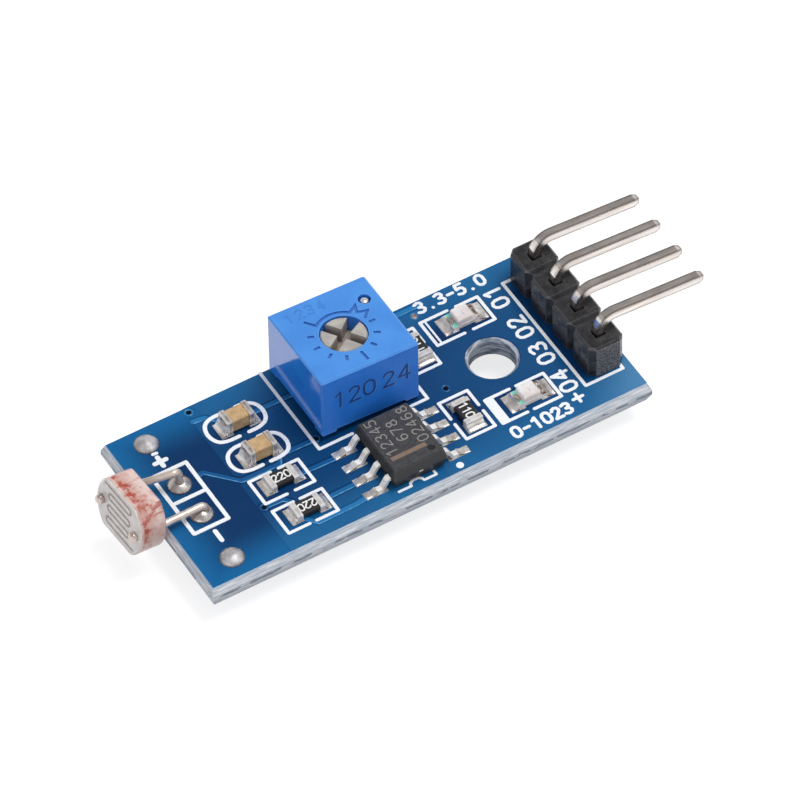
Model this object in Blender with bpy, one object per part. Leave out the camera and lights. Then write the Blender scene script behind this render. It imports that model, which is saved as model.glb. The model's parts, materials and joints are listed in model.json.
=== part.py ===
"""Light sensor module: a small circuit board with a light dependent resistor standing off one
end, a square trimmer, a comparator, chip parts and a right-angle pin header at the other end.

Sizes are in millimetres. A mesh is drawn in millimetres and scaled to metres when it becomes an
object. X runs along the board from the light sensor to the header, Y across it, Z up, and the
origin is the middle of the board's underside.
"""
import math

import bmesh
import bpy
from mathutils import Matrix, Vector

MM = 0.001                      # metres in a millimetre
WELD = 0.0001                   # points closer than this are one point

# Fits
FILM = 0.02                     # film between pieces that seat on each other
SOLDER_FILM = 0.03              # solder under a surface-mounted terminal
RUNNING_FIT = 0.06              # clearance of the trimmer's rotor in its housing

# Board, snapped from a panel along V scores
BOARD_LENGTH = 32.0
BOARD_WIDTH = 14.0
BOARD_THICKNESS = 1.6
SCORE_DEPTH = 0.6               # how deep each score runs into the board
SCORE_RUN = 0.25                # how far its slope cuts back the face
MOUNT_HOLE_DIAMETER = 3.1
MOUNT_HOLE_CHAMFER = 0.2
MOUNT_HOLE_INSET = 7.44         # from the board's header end
MOUNT_HOLE_X = BOARD_LENGTH / 2 - MOUNT_HOLE_INSET
MOUNT_HOLE_Y = 0.12

# Right-angle pin header
HEADER_PINS = 4
HEADER_PITCH = 2.54
HEADER_INSET = 1.8              # row of pins, from the board's end
HEADER_X = BOARD_LENGTH / 2 - HEADER_INSET
HEADER_Y = 0.40
HEADER_BODY_WIDTH = 2.54
HEADER_BODY_HEIGHT = 2.54
HEADER_CHAMFER = 0.42           # corner chamfer of each section
HEADER_GROOVE_WIDTH = 0.55      # snap-off groove across the top, between sections
HEADER_GROOVE_DEPTH = 0.28
HEADER_TOP_EDGE = 0.14
PIN_SIZE = 0.60
PIN_RISE = 3.80                 # board top to the middle of the level arm, at the bend
PIN_BEND_RADIUS = 1.1
PIN_REACH = 7.7                 # bend's upright to the tip
PIN_DROOP = 4.0                 # degrees that the arm dips towards its tip
PIN_TAIL = 1.5                  # below the board
PIN_POINT = 0.35                # length of the tapered tip
PIN_TIP = 0.68                  # its end, as a share of the pin's side
PIN_HOLE_DIAMETER = 1.06
PIN_PAD_DIAMETER = 1.7
PIN_SOLDER_UNDER = 0.8          # height of the solder cone under the board
PIN_BORE_BOTTOM = 0.14          # depth of the flare round each pin in the strip's top
PIN_BORE_FLARE = 0.1            # how far the flare widens on each side

# Light dependent resistor, on bent leads past the board's end
LDR_DIAMETER = 5.1
LDR_FLATS = 4.05                # across the two flats
LDR_THICKNESS = 1.9
LDR_EDGE = 0.12
LDR_OVERHANG = 2.3              # middle of its face past the board's end
LDR_FACE_X = -BOARD_LENGTH / 2 - LDR_OVERHANG
LDR_Y = 0.45
LDR_RISE = 1.06                 # middle of the disc above the board top
LDR_PITCH = 8.5                 # degrees that its face looks up
LDR_YAW = 3.5                   # degrees that its face turns to -Y
LDR_LEAD_SPACING = 3.75
LDR_LEAD_DIAMETER = 0.5
LDR_HEAD_DIAMETER = 0.70
LDR_HEAD_HEIGHT = 0.42
LDR_JOINT_INSET = 2.58          # its two holes, from the board's end
LDR_JOINT_X = -BOARD_LENGTH / 2 + LDR_JOINT_INSET
LDR_JOINT_PITCH = 2.72
LDR_JOINT_Y = 0.14
LDR_LEAD_RISES = (1.36, 0.70)   # height of each lead above the board top where it turns down
LDR_BEND_RADIUS = 0.36
LDR_HOOK_TURNS = (5.0, 35.0)    # degrees that each lead turns past the upright and back
LDR_TAIL_SHIFTS = (0.0, 0.18)   # each tail from the middle of its hole
LDR_TAIL = 0.9
LDR_HOLE_DIAMETER = 1.0
LDR_PAD_DIAMETER = 1.65
LDR_SOLDER_TOP = 0.42           # height of the solder over the board, and under it
LDR_SOLDER_UNDER = 0.6

# Spare solder-filled holes beside the light sensor
SPARE_PAD_DIAMETER = 1.65
SPARE_HOLE_DIAMETER = 0.9
SPARE_INSET = 2.45              # from the board's end
SPARE_EDGE = 1.65               # from the board's two long edges
SPARE_Y = 0.1                   # their middle, off the board's middle line
SPARE_DOME = 0.34

# Square single-turn trimmer
TRIMMER_X = -0.5
TRIMMER_Y = 3.2
TRIMMER_LENGTH = 7.0            # along X
TRIMMER_WIDTH = 6.9             # along Y
TRIMMER_HEIGHT = 4.75
TRIMMER_LEAN_X = -2.2           # degrees, turned about X when it was soldered
TRIMMER_LEAN_Y = 1.7            # degrees, about Y
TRIMMER_TURN = -0.9             # degrees, about Z
TRIMMER_CORNER = 0.14
TRIMMER_TOP_EDGE = 0.12
TRIMMER_WALL = 0.4
TRIMMER_FOOT = 1.0              # side of each corner foot
TRIMMER_FOOT_HEIGHT = 0.18
ROTOR_X = -0.12                 # from the middle of the housing
ROTOR_Y = -0.35
ROTOR_DIAMETER = 3.0
ROTOR_RECESS = 0.06
ROTOR_FLANGE_DIAMETER = 4.9
ROTOR_FLANGE_HEIGHT = 0.7
ROTOR_SLOT = 0.62
ROTOR_SLOT_DEPTH = 1.15
ROTOR_POINTER = 0.95            # width of the pointer's arm at the rim
ROTOR_ANGLE = 35.0              # degrees, pointer's direction at rest
RING_SECTION = 0.6
WIPER_THICKNESS = 0.12
WIPER_DIAMETER = 4.3
ELEMENT_SIZE = 6.0
ELEMENT_THICKNESS = 0.6
SEAL_THICKNESS = 0.6
TERMINAL_SPAN = 5.08            # between the two end terminals
TERMINAL_STEP = 2.54            # from them to the middle terminal
TERMINAL_X = -0.07              # middle of the three, from the middle of the housing
TERMINAL_Y = 0.33
TERMINAL_DIAMETER = 0.5
TERMINAL_TAIL = 1.3
TERMINAL_HOLE_DIAMETER = 0.85
TERMINAL_PAD_DIAMETER = 1.5
TERMINAL_SOLDER_UNDER = 0.7
WINDOW_DIAMETER = 0.85          # sight hole over one end terminal
WINDOW_DROP = 0.16              # terminal's end below the housing top
DIAL_RADIUS = 1.86              # engraved dial round the rotor's hole
DIAL_STEPS = 9                  # steps from the start of travel to the end mark
DIAL_START = 128.7              # degrees, the long tick at the start of travel
DIAL_STEP = 29.2
DIAL_TICK = 0.45
DIAL_LONG_TICK = 0.85
DIAL_LONG_AT = 5                # the other long tick
DIAL_LINE = 0.22
DIAL_DEPTH = 0.1
DIAL_MARK_ANGLE = 17.0          # half the width of the end mark, a zigzag with two peaks
DIAL_MARK_HEIGHT = 0.62
DIAL_MARK_VALLEY = 0.14

# Comparator in an eight-lead gull-wing package
CHIP_X = -0.36
CHIP_Y = -3.55
CHIP_LENGTH = 4.9               # along Y
CHIP_WIDTH = 3.9                # along X
CHIP_HEIGHT = 1.45
CHIP_STANDOFF = 0.12
CHIP_DRAFT = 0.17
CHIP_CORNER = 0.08
CHIP_LEADS = 8
CHIP_PITCH = 1.27
CHIP_SPAN = 6.0                 # over the leads
LEAD_WIDTH = 0.42
LEAD_THICKNESS = 0.2
LEAD_FOOT = 0.45
LEAD_SHOULDER = 0.16
LEAD_BEND_RADIUS = 0.22
DIMPLE_DIAMETER = 0.55
DIMPLE_DEPTH = 0.08
DIMPLE_INSET = 0.75

# Chip resistors, chip capacitors and lamps share one footprint
CHIP_PART_LENGTH = 2.0
CHIP_PART_WIDTH = 1.25
CAP_WALL = 0.05                 # plated end over the ceramic
CAP_REACH = 0.38
CAP_EDGE = 0.06
RESISTOR_HEIGHT = 0.52
CAPACITOR_HEIGHT = 1.15
RESISTOR_PLACES = (             # x, y, degrees
    (-7.86, -1.54, 0.0),
    (-7.66, -4.41, 0.0),
    (4.74, -3.05, 90.0),
    (4.85, 3.20, 90.0),
)
CAPACITOR_PLACES = (
    (-7.88, 3.92, 0.0),
    (-7.90, 1.05, 0.0),
)
LAMP_BASE_HEIGHT = 0.3
LAMP_LENS_LENGTH = 1.3
LAMP_LENS_HEIGHT = 0.36
LAMP_LENS_DRAFT = 0.05
LAMP_LENS_EDGE = 0.08
LAMP_NOTCH = 0.32               # radius of the half-round at each end
LAMP_PLACES = (
    (8.60, 3.90, 0.0),
    (8.82, -3.76, 0.0),
)

# Facets
ROUND = 32
ROUND_SMALL = 16
WIRE_SIDES = 12
CURVE_STEPS = 5


def start_clean():
    """Empty the scene."""
    for item in list(bpy.data.objects):
        bpy.data.objects.remove(item, do_unlink=True)


def make_material(name, color, roughness, metallic=0.0):
    """A plain Principled material."""
    made = bpy.data.materials.new(name)
    made.use_nodes = True
    shader = made.node_tree.nodes["Principled BSDF"]
    shader.inputs["Base Color"].default_value = (*color, 1.0)
    shader.inputs["Roughness"].default_value = roughness
    shader.inputs["Metallic"].default_value = metallic
    return made


def add_piece(name, bm, material, parent=None, place=(0.0, 0.0, 0.0), turn=0.0):
    """Turn a mesh drawn in millimetres into a named object in metres."""
    bmesh.ops.remove_doubles(bm, verts=bm.verts, dist=WELD)
    bmesh.ops.recalc_face_normals(bm, faces=bm.faces)
    bmesh.ops.scale(bm, vec=(MM, MM, MM), verts=bm.verts)
    mesh = bpy.data.meshes.new(name)
    bm.to_mesh(mesh)
    bm.free()
    mesh.shade_smooth()
    mesh.set_sharp_from_angle(angle=math.radians(32.0))
    mesh.materials.append(material)
    piece = bpy.data.objects.new(name, mesh)
    bpy.context.scene.collection.objects.link(piece)
    piece.parent = parent
    piece.location = Vector(place) * MM
    piece.rotation_euler = (0.0, 0.0, math.radians(turn))
    return piece


def add_frame(name, place, rotation=(0.0, 0.0, 0.0), parent=None):
    """An empty that carries pieces; place in millimetres, rotation in degrees."""
    frame = bpy.data.objects.new(name, None)
    bpy.context.scene.collection.objects.link(frame)
    frame.parent = parent
    frame.location = Vector(place) * MM
    frame.rotation_euler = [math.radians(angle) for angle in rotation]
    return frame


def cut(piece, bm, name):
    """Subtract a mesh drawn in the piece's own millimetres."""
    cutter = add_piece(name, bm, piece.data.materials[0], parent=piece)
    cutter.hide_render = True
    cutter.display_type = "WIRE"
    boolean = piece.modifiers.new(name, "BOOLEAN")
    boolean.operation = "DIFFERENCE"
    boolean.solver = "EXACT"
    boolean.object = cutter


def add_loft(bm, rings):
    """Skin rings of equal length from first to last and close both ends."""
    made = [[bm.verts.new(point) for point in ring] for ring in rings]
    count = len(made[0])
    for lower, upper in zip(made, made[1:]):
        for i in range(count):
            j = (i + 1) % count
            bm.faces.new((lower[i], lower[j], upper[j], upper[i]))
    bm.faces.new(reversed(made[0]))
    bm.faces.new(made[-1])


def loft(rings):
    """One closed body skinned over rings."""
    bm = bmesh.new()
    add_loft(bm, rings)
    return bm


def level_ring(outline, z):
    """A plan outline at one height."""
    return [(x, y, z) for x, y in outline]


def add_prism(bm, outline, low, high):
    """A straight prism over a plan outline."""
    add_loft(bm, [level_ring(outline, low), level_ring(outline, high)])


def prism(outline, low, high):
    """One straight prism."""
    return loft([level_ring(outline, low), level_ring(outline, high)])


def circle(radius, sides, x=0.0, y=0.0):
    """Plan outline of a circle."""
    steps = [2.0 * math.pi * i / sides for i in range(sides)]
    return [(x + radius * math.cos(a), y + radius * math.sin(a)) for a in steps]


def rectangle(length, width, corner=0.0, x=0.0, y=0.0):
    """Plan outline of a rectangle, with rounded corners if asked."""
    if corner <= 0.0:
        signs = ((-1, -1), (1, -1), (1, 1), (-1, 1))
        return [(x + sx * length / 2, y + sy * width / 2) for sx, sy in signs]
    outline = []
    for quarter, (sx, sy) in enumerate(((1, 1), (-1, 1), (-1, -1), (1, -1))):
        for i in range(CURVE_STEPS):
            a = math.pi / 2 * (quarter + i / (CURVE_STEPS - 1))
            outline.append((x + sx * (length / 2 - corner) + corner * math.cos(a),
                            y + sy * (width / 2 - corner) + corner * math.sin(a)))
    return outline


def bevelled_rectangle(length, width, bevel):
    """Plan outline of a rectangle with one flat across each corner."""
    outline = []
    for sx, sy in ((-1, -1), (1, -1), (1, 1), (-1, 1)):
        near = (sx * length / 2, sy * (width / 2 - bevel))
        far = (sx * (length / 2 - bevel), sy * width / 2)
        outline += [near, far] if sx * sy > 0 else [far, near]
    return outline


def revolve(profile, sides):
    """Turn a closed profile of radius and height about Z."""
    bm = bmesh.new()
    verts = [bm.verts.new((r, 0.0, z)) for r, z in profile]
    pairs = zip(verts, verts[1:] + verts[:1])
    edges = [bm.edges.new(pair) for pair in pairs if pair[0].co.x > 0 or pair[1].co.x > 0]
    bmesh.ops.spin(bm, geom=verts + edges, cent=(0, 0, 0), axis=(0, 0, 1),
                   angle=2.0 * math.pi, steps=sides, use_merge=True)
    return bm


def wire(path, radii):
    """A round wire through points, with its radius at each point."""
    points = [Vector(point) for point in path]
    heading = (points[1] - points[0]).normalized()
    side = heading.orthogonal().normalized()
    rings = []
    for i, point in enumerate(points):
        before = points[max(i - 1, 0)]
        after = points[min(i + 1, len(points) - 1)]
        turned = (after - before).normalized()
        side = (heading.rotation_difference(turned) @ side).normalized()
        heading = turned
        up = heading.cross(side)
        steps = [2.0 * math.pi * k / WIRE_SIDES for k in range(WIRE_SIDES)]
        rings.append([point + radii[i] * (math.cos(a) * side + math.sin(a) * up) for a in steps])
    return loft(rings)


def bar(stations, width, thickness):
    """A bar bent in its XZ plane; each station is x, z, heading in radians and scale."""
    rings = []
    for x, z, heading, scale in stations:
        nx = -math.sin(heading) * thickness / 2 * scale
        nz = math.cos(heading) * thickness / 2 * scale
        w = width / 2 * scale
        rings.append([(x - nx, -w, z - nz), (x - nx, w, z - nz), (x + nx, w, z + nz), (x + nx, -w, z + nz)])
    return loft(rings)


def solder_profile(hole, pad, bore, top, bottom, rounded):
    """Profile of a soldered hole: barrel, fillet under the board and one on top if it has height."""
    def fillet(height, level, direction):
        points = []
        for i in range(CURVE_STEPS):
            t = i / (CURVE_STEPS - 1)
            rise = math.sin(math.pi / 2 * t) if rounded else 1.0 - math.cos(math.pi / 2 * t)
            points.append((pad / 2 + (bore - pad / 2) * t, level + direction * height * rise))
        return points
    barrel = hole / 2 - FILM
    profile = fillet(bottom, -FILM, -1)[::-1]
    profile.append((barrel, -FILM))
    if top > 0:
        profile.append((barrel, BOARD_THICKNESS + FILM))
        profile += fillet(top, BOARD_THICKNESS + FILM, 1)
    else:
        profile += [(barrel, BOARD_THICKNESS - FILM), (bore, BOARD_THICKNESS - FILM)]
    return profile


def header_pin_places():
    """Y of each header pin."""
    middle = (HEADER_PINS - 1) / 2
    return [HEADER_Y + HEADER_PITCH * (middle - i) for i in range(HEADER_PINS)]


def ldr_joint_places():
    """Y of the two holes of the light sensor's leads."""
    return [LDR_JOINT_Y + side * LDR_JOINT_PITCH / 2 for side in (1, -1)]


def spare_places():
    """Y of the two spare holes."""
    return [SPARE_Y + side * (BOARD_WIDTH / 2 - SPARE_EDGE) for side in (1, -1)]


def terminal_places():
    """Terminals in the trimmer's own plan: end, middle, end."""
    near = TERMINAL_Y - TERMINAL_STEP / 2
    far = TERMINAL_Y + TERMINAL_STEP / 2
    return [(TERMINAL_X - TERMINAL_SPAN / 2, far),
            (TERMINAL_X, near),
            (TERMINAL_X + TERMINAL_SPAN / 2, far)]


def trimmer_matrix():
    """Place of the trimmer, which leans until its lowest foot meets the board."""
    rotation = Matrix.Rotation(math.radians(TRIMMER_TURN), 4, "Z")
    rotation = rotation @ Matrix.Rotation(math.radians(TRIMMER_LEAN_Y), 4, "Y")
    rotation = rotation @ Matrix.Rotation(math.radians(TRIMMER_LEAN_X), 4, "X")
    feet = [rotation @ Vector((sx * TRIMMER_LENGTH / 2, sy * TRIMMER_WIDTH / 2, 0.0))
            for sx in (-1, 1) for sy in (-1, 1)]
    rise = BOARD_THICKNESS + FILM - min(foot.z for foot in feet)
    return Matrix.Translation((TRIMMER_X, TRIMMER_Y, rise)) @ rotation


def terminal_hole(place):
    """Board hole under one terminal, straight below where it leaves the housing."""
    leaving = trimmer_matrix() @ Vector((place[0], place[1], TRIMMER_FOOT_HEIGHT))
    return leaving.x, leaving.y


def make_board(material):
    """The bare board with its scored edges, screw hole and plated holes."""
    levels = ((0.0, SCORE_RUN), (SCORE_DEPTH, 0.0),
              (BOARD_THICKNESS - SCORE_DEPTH, 0.0), (BOARD_THICKNESS, SCORE_RUN))
    rings = [level_ring(rectangle(BOARD_LENGTH - 2 * inset, BOARD_WIDTH - 2 * inset), z)
             for z, inset in levels]
    board = add_piece("pcb", loft(rings), material)

    past = 0.5
    radius = MOUNT_HOLE_DIAMETER / 2
    slope = [(-past, MOUNT_HOLE_CHAMFER + past), (MOUNT_HOLE_CHAMFER, 0.0),
             (BOARD_THICKNESS - MOUNT_HOLE_CHAMFER, 0.0),
             (BOARD_THICKNESS + past, MOUNT_HOLE_CHAMFER + past)]
    holes = loft([level_ring(circle(radius + grow, ROUND, MOUNT_HOLE_X, MOUNT_HOLE_Y), z)
                  for z, grow in slope])
    drilled = [(HEADER_X, y, PIN_HOLE_DIAMETER) for y in header_pin_places()]
    drilled += [(LDR_JOINT_X, y, LDR_HOLE_DIAMETER) for y in ldr_joint_places()]
    spare_x = -BOARD_LENGTH / 2 + SPARE_INSET
    drilled += [(spare_x, y, SPARE_HOLE_DIAMETER) for y in spare_places()]
    drilled += [(*terminal_hole(place), TERMINAL_HOLE_DIAMETER) for place in terminal_places()]
    for x, y, diameter in drilled:
        outline = circle(diameter / 2, ROUND_SMALL, x, y)
        add_prism(holes, outline, -past, BOARD_THICKNESS + past)
    cut(board, holes, "pcb_drill")
    return board


def make_header(plastic, tin, solder):
    """Pin strip: one moulded strip of eight-sided sections, bent square pins, soldered tails."""
    half = HEADER_BODY_WIDTH / 2
    strip = HEADER_PINS * HEADER_PITCH / 2

    def outline(inset):
        side = []
        for i in range(HEADER_PINS):
            start = -strip + i * HEADER_PITCH
            low = start + (inset if i == 0 else 0.0)
            high = start + HEADER_PITCH - (inset if i == HEADER_PINS - 1 else 0.0)
            side += [(half - HEADER_CHAMFER, low), (half - inset, start + HEADER_CHAMFER),
                     (half - inset, start + HEADER_PITCH - HEADER_CHAMFER),
                     (half - HEADER_CHAMFER, high)]
        points = []
        for point in side:
            if not points or (Vector(point) - Vector(points[-1])).length > WELD:
                points.append(point)
        return points + [(-x, -y) for x, y in points]

    rings = [level_ring(outline(0.0), 0.0),
             level_ring(outline(0.0), HEADER_BODY_HEIGHT - HEADER_TOP_EDGE),
             level_ring(outline(HEADER_TOP_EDGE), HEADER_BODY_HEIGHT)]
    seat = BOARD_THICKNESS + FILM
    housing = add_piece("header_housing", loft(rings), plastic, place=(HEADER_X, HEADER_Y, seat))
    bores = bmesh.new()
    bore = PIN_SIZE + 2 * FILM
    for y in header_pin_places():
        local_y = y - HEADER_Y
        levels = ((-PIN_BORE_BOTTOM, bore), (HEADER_BODY_HEIGHT - PIN_BORE_BOTTOM, bore),
                  (HEADER_BODY_HEIGHT, bore + 2 * PIN_BORE_FLARE),
                  (HEADER_BODY_HEIGHT + PIN_BORE_BOTTOM, bore + 2 * PIN_BORE_FLARE))
        add_loft(bores, [level_ring(rectangle(size, size, 0.0, 0.0, local_y), z)
                         for z, size in levels])
    cut(housing, bores, "header_bores")
    grooves = bmesh.new()
    mouth = HEADER_GROOVE_WIDTH / 2
    for i in range(1, HEADER_PINS):
        y = -strip + i * HEADER_PITCH
        add_loft(grooves, [[(x, y + side * 2 * mouth, HEADER_BODY_HEIGHT + z)
                            for side, z in ((-1, HEADER_GROOVE_DEPTH), (0, -HEADER_GROOVE_DEPTH),
                                            (1, HEADER_GROOVE_DEPTH))]
                           for x in (-HEADER_BODY_WIDTH, HEADER_BODY_WIDTH)])
    cut(housing, grooves, "header_grooves")

    droop = math.radians(PIN_DROOP)
    turn = math.pi / 2 + droop
    bend_z = BOARD_THICKNESS + PIN_RISE - PIN_BEND_RADIUS
    stations = [(0.0, -PIN_TAIL, math.pi / 2, PIN_TIP),
                (0.0, -PIN_TAIL + PIN_POINT, math.pi / 2, 1.0)]
    bend_steps = 2 * CURVE_STEPS
    for i in range(bend_steps + 1):
        a = turn * i / bend_steps
        stations.append((PIN_BEND_RADIUS * (1 - math.cos(a)), bend_z + PIN_BEND_RADIUS * math.sin(a),
                         math.pi / 2 - a, 1.0))
    x, z = stations[-1][:2]
    for reach, scale in ((PIN_REACH - PIN_POINT, 1.0), (PIN_REACH, PIN_TIP)):
        run = reach - x
        stations.append((reach, z - run * math.tan(droop), -droop, scale))
    bore_radius = PIN_SIZE / math.sqrt(2) + FILM
    for number, y in enumerate(header_pin_places(), 1):
        add_piece(f"header_pin_{number}", bar(stations, PIN_SIZE, PIN_SIZE), tin,
                  place=(HEADER_X, y, 0.0))
        profile = solder_profile(PIN_HOLE_DIAMETER, PIN_PAD_DIAMETER, bore_radius, 0.0,
                                 PIN_SOLDER_UNDER, False)
        add_piece(f"header_solder_{number}", revolve(profile, ROUND_SMALL), solder,
                  place=(HEADER_X, y, 0.0))


def ldr_matrix():
    """Frame of the disc: its face is in the YZ plane, looking along -X."""
    place = Matrix.Translation((LDR_FACE_X, LDR_Y, BOARD_THICKNESS + LDR_RISE))
    yaw = Matrix.Rotation(math.radians(LDR_YAW), 4, "Z")
    pitch = Matrix.Rotation(math.radians(LDR_PITCH), 4, "Y")
    return place @ yaw @ pitch


def ldr_outline(inset):
    """Round disc with two flats, above and below."""
    radius = LDR_DIAMETER / 2 - inset
    flat = LDR_FLATS / 2 - inset
    open_angle = math.asin(min(flat / radius, 1.0))
    steps = ROUND // 2
    outline = []
    for middle in (0.0, math.pi):
        for i in range(steps + 1):
            a = middle - open_angle + 2 * open_angle * i / steps
            outline.append((radius * math.cos(a), radius * math.sin(a)))
    return outline


def lead_path(index):
    """One lead of the light sensor, from the disc's back over a hook to its tail."""
    side = 1 - 2 * index
    y = ldr_joint_places()[index]
    leaving = ldr_matrix() @ Vector((LDR_THICKNESS, side * LDR_LEAD_SPACING / 2, 0.0))
    tail_x = LDR_JOINT_X + LDR_TAIL_SHIFTS[index]
    top = BOARD_THICKNESS + LDR_LEAD_RISES[index]
    first = math.atan2(top - leaving.z, tail_x - LDR_BEND_RADIUS - leaving.x)
    past = -math.pi / 2 - math.radians(LDR_HOOK_TURNS[index])
    upright = -math.pi / 2
    start_x = tail_x - LDR_BEND_RADIUS * (math.sin(first) + math.sin(upright) - 2 * math.sin(past))
    path = [leaving, Vector((start_x, y, top))]
    for begin, end, sign in ((first, past, 1), (past, upright, -1)):
        corner = path[-1]
        steps = 2 * CURVE_STEPS if sign > 0 else CURVE_STEPS
        for i in range(1, steps + 1):
            a = begin + (end - begin) * i / steps
            dx = sign * LDR_BEND_RADIUS * (math.sin(begin) - math.sin(a))
            dz = sign * LDR_BEND_RADIUS * (math.cos(a) - math.cos(begin))
            path.append(corner + Vector((dx, 0.0, dz)))
    path.append(Vector((tail_x, y, -LDR_TAIL)))
    return path


def make_light_sensor(ceramic, tin, solder):
    """Ceramic disc, two headed leads and their solder joints."""
    to_face = Matrix(((0, 0, 1, 0), (1, 0, 0, 0), (0, 1, 0, 0), (0, 0, 0, 1)))
    frame = ldr_matrix() @ to_face
    levels = ((0.0, LDR_EDGE), (LDR_EDGE, 0.0),
              (LDR_THICKNESS - LDR_EDGE, 0.0), (LDR_THICKNESS, LDR_EDGE))
    body = loft([level_ring(ldr_outline(inset), z) for z, inset in levels])
    disc = add_piece("ldr_disc", body, ceramic)
    bores = bmesh.new()
    for side in (1, -1):
        outline = circle(LDR_LEAD_DIAMETER / 2 + FILM, WIRE_SIDES, side * LDR_LEAD_SPACING / 2, 0.0)
        add_prism(bores, outline, -0.5, LDR_THICKNESS + 0.5)
    cut(disc, bores, "ldr_bores")
    frame.translation *= MM
    disc.matrix_world = frame

    face = ldr_matrix()
    thin = LDR_LEAD_DIAMETER / 2
    wide = LDR_HEAD_DIAMETER / 2
    head = ((-LDR_HEAD_HEIGHT, 0.55 * wide), (-0.8 * LDR_HEAD_HEIGHT, 0.88 * wide),
            (-0.5 * LDR_HEAD_HEIGHT, wide), (-FILM, 0.94 * wide), (-0.9 * FILM, thin))
    profile = solder_profile(LDR_HOLE_DIAMETER, LDR_PAD_DIAMETER, 0.0, LDR_SOLDER_TOP,
                             LDR_SOLDER_UNDER, True)
    for index, joint_y in enumerate(ldr_joint_places()):
        number = index + 1
        y = (1 - 2 * index) * LDR_LEAD_SPACING / 2
        points = [face @ Vector((x, y, 0.0)) for x, radius in head]
        radii = [radius for x, radius in head]
        route = lead_path(index)
        add_piece(f"ldr_lead_{number}", wire(points + route, radii + [thin] * len(route)), tin)
        joint = add_piece(f"ldr_solder_{number}", revolve(profile, ROUND_SMALL), solder,
                          place=(LDR_JOINT_X, joint_y, 0.0))
        tunnel = wire(route, [thin + FILM] * len(route))
        bmesh.ops.translate(tunnel, vec=(-LDR_JOINT_X, -joint_y, 0.0), verts=tunnel.verts)
        cut(joint, tunnel, f"ldr_solder_bore_{number}")


def make_spare_pads(solder):
    """Two spare holes filled with solder, domed on both sides."""
    profile = solder_profile(SPARE_HOLE_DIAMETER, SPARE_PAD_DIAMETER, 0.0, SPARE_DOME, SPARE_DOME, True)
    for number, y in enumerate(spare_places(), 1):
        add_piece(f"corner_solder_{number}", revolve(profile, ROUND_SMALL), solder,
                  place=(-BOARD_LENGTH / 2 + SPARE_INSET, y, 0.0))


def trimmer_stack():
    """Heights inside the trimmer, from its feet up."""
    stack = {"seal": TRIMMER_FOOT_HEIGHT + FILM}
    stack["element"] = stack["seal"] + SEAL_THICKNESS + FILM
    stack["wiper"] = stack["element"] + ELEMENT_THICKNESS + FILM
    stack["flange"] = stack["wiper"] + WIPER_THICKNESS + FILM
    stack["ring"] = stack["flange"] + ROTOR_FLANGE_HEIGHT + FILM
    stack["ceiling"] = stack["ring"] + RING_SECTION + FILM
    return stack


def ribbon(points, width):
    """Plan outline of a line of one width, mitred at its corners."""
    path = [Vector(point) for point in points]
    left, right = [], []
    for i, point in enumerate(path):
        before = (point - path[max(i - 1, 0)]).normalized()
        after = (path[min(i + 1, len(path) - 1)] - point).normalized()
        before = before if i else after
        after = after if i < len(path) - 1 else before
        normal = Vector((-before.y - after.y, before.x + after.x)).normalized()
        reach = width / 2 / normal.dot(Vector((-before.y, before.x)))
        left.append(point + normal * reach)
        right.append(point - normal * reach)
    return [tuple(point) for point in right + left[::-1]]


def dial_outlines():
    """Engraved dial in plan: ticks, and one line from the start round the hole to the end mark."""
    def polar(radius, degrees):
        a = math.radians(degrees)
        return (ROTOR_X + radius * math.cos(a), ROTOR_Y + radius * math.sin(a))

    end = DIAL_START + DIAL_STEPS * DIAL_STEP - 360.0
    mark = end + DIAL_MARK_ANGLE
    peak = DIAL_RADIUS + DIAL_MARK_HEIGHT
    line = [polar(DIAL_RADIUS + DIAL_LONG_TICK, DIAL_START)]
    sweep = 3 * CURVE_STEPS
    line += [polar(DIAL_RADIUS, DIAL_START + (mark - DIAL_START) * i / sweep)
             for i in range(sweep + 1)]
    line += [polar(peak, end + DIAL_MARK_ANGLE * 0.75),
             polar(DIAL_RADIUS + DIAL_MARK_VALLEY, end + DIAL_MARK_ANGLE * 0.25),
             polar(peak, end - DIAL_MARK_ANGLE * 0.45),
             polar(DIAL_RADIUS, end - DIAL_MARK_ANGLE)]
    outlines = [ribbon(line, DIAL_LINE)]
    for i in range(1, DIAL_STEPS):
        a = DIAL_START + i * DIAL_STEP
        length = DIAL_LONG_TICK if i == DIAL_LONG_AT else DIAL_TICK
        outlines.append(ribbon([polar(DIAL_RADIUS, a), polar(DIAL_RADIUS + length, a)], DIAL_LINE))
    return outlines


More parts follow.
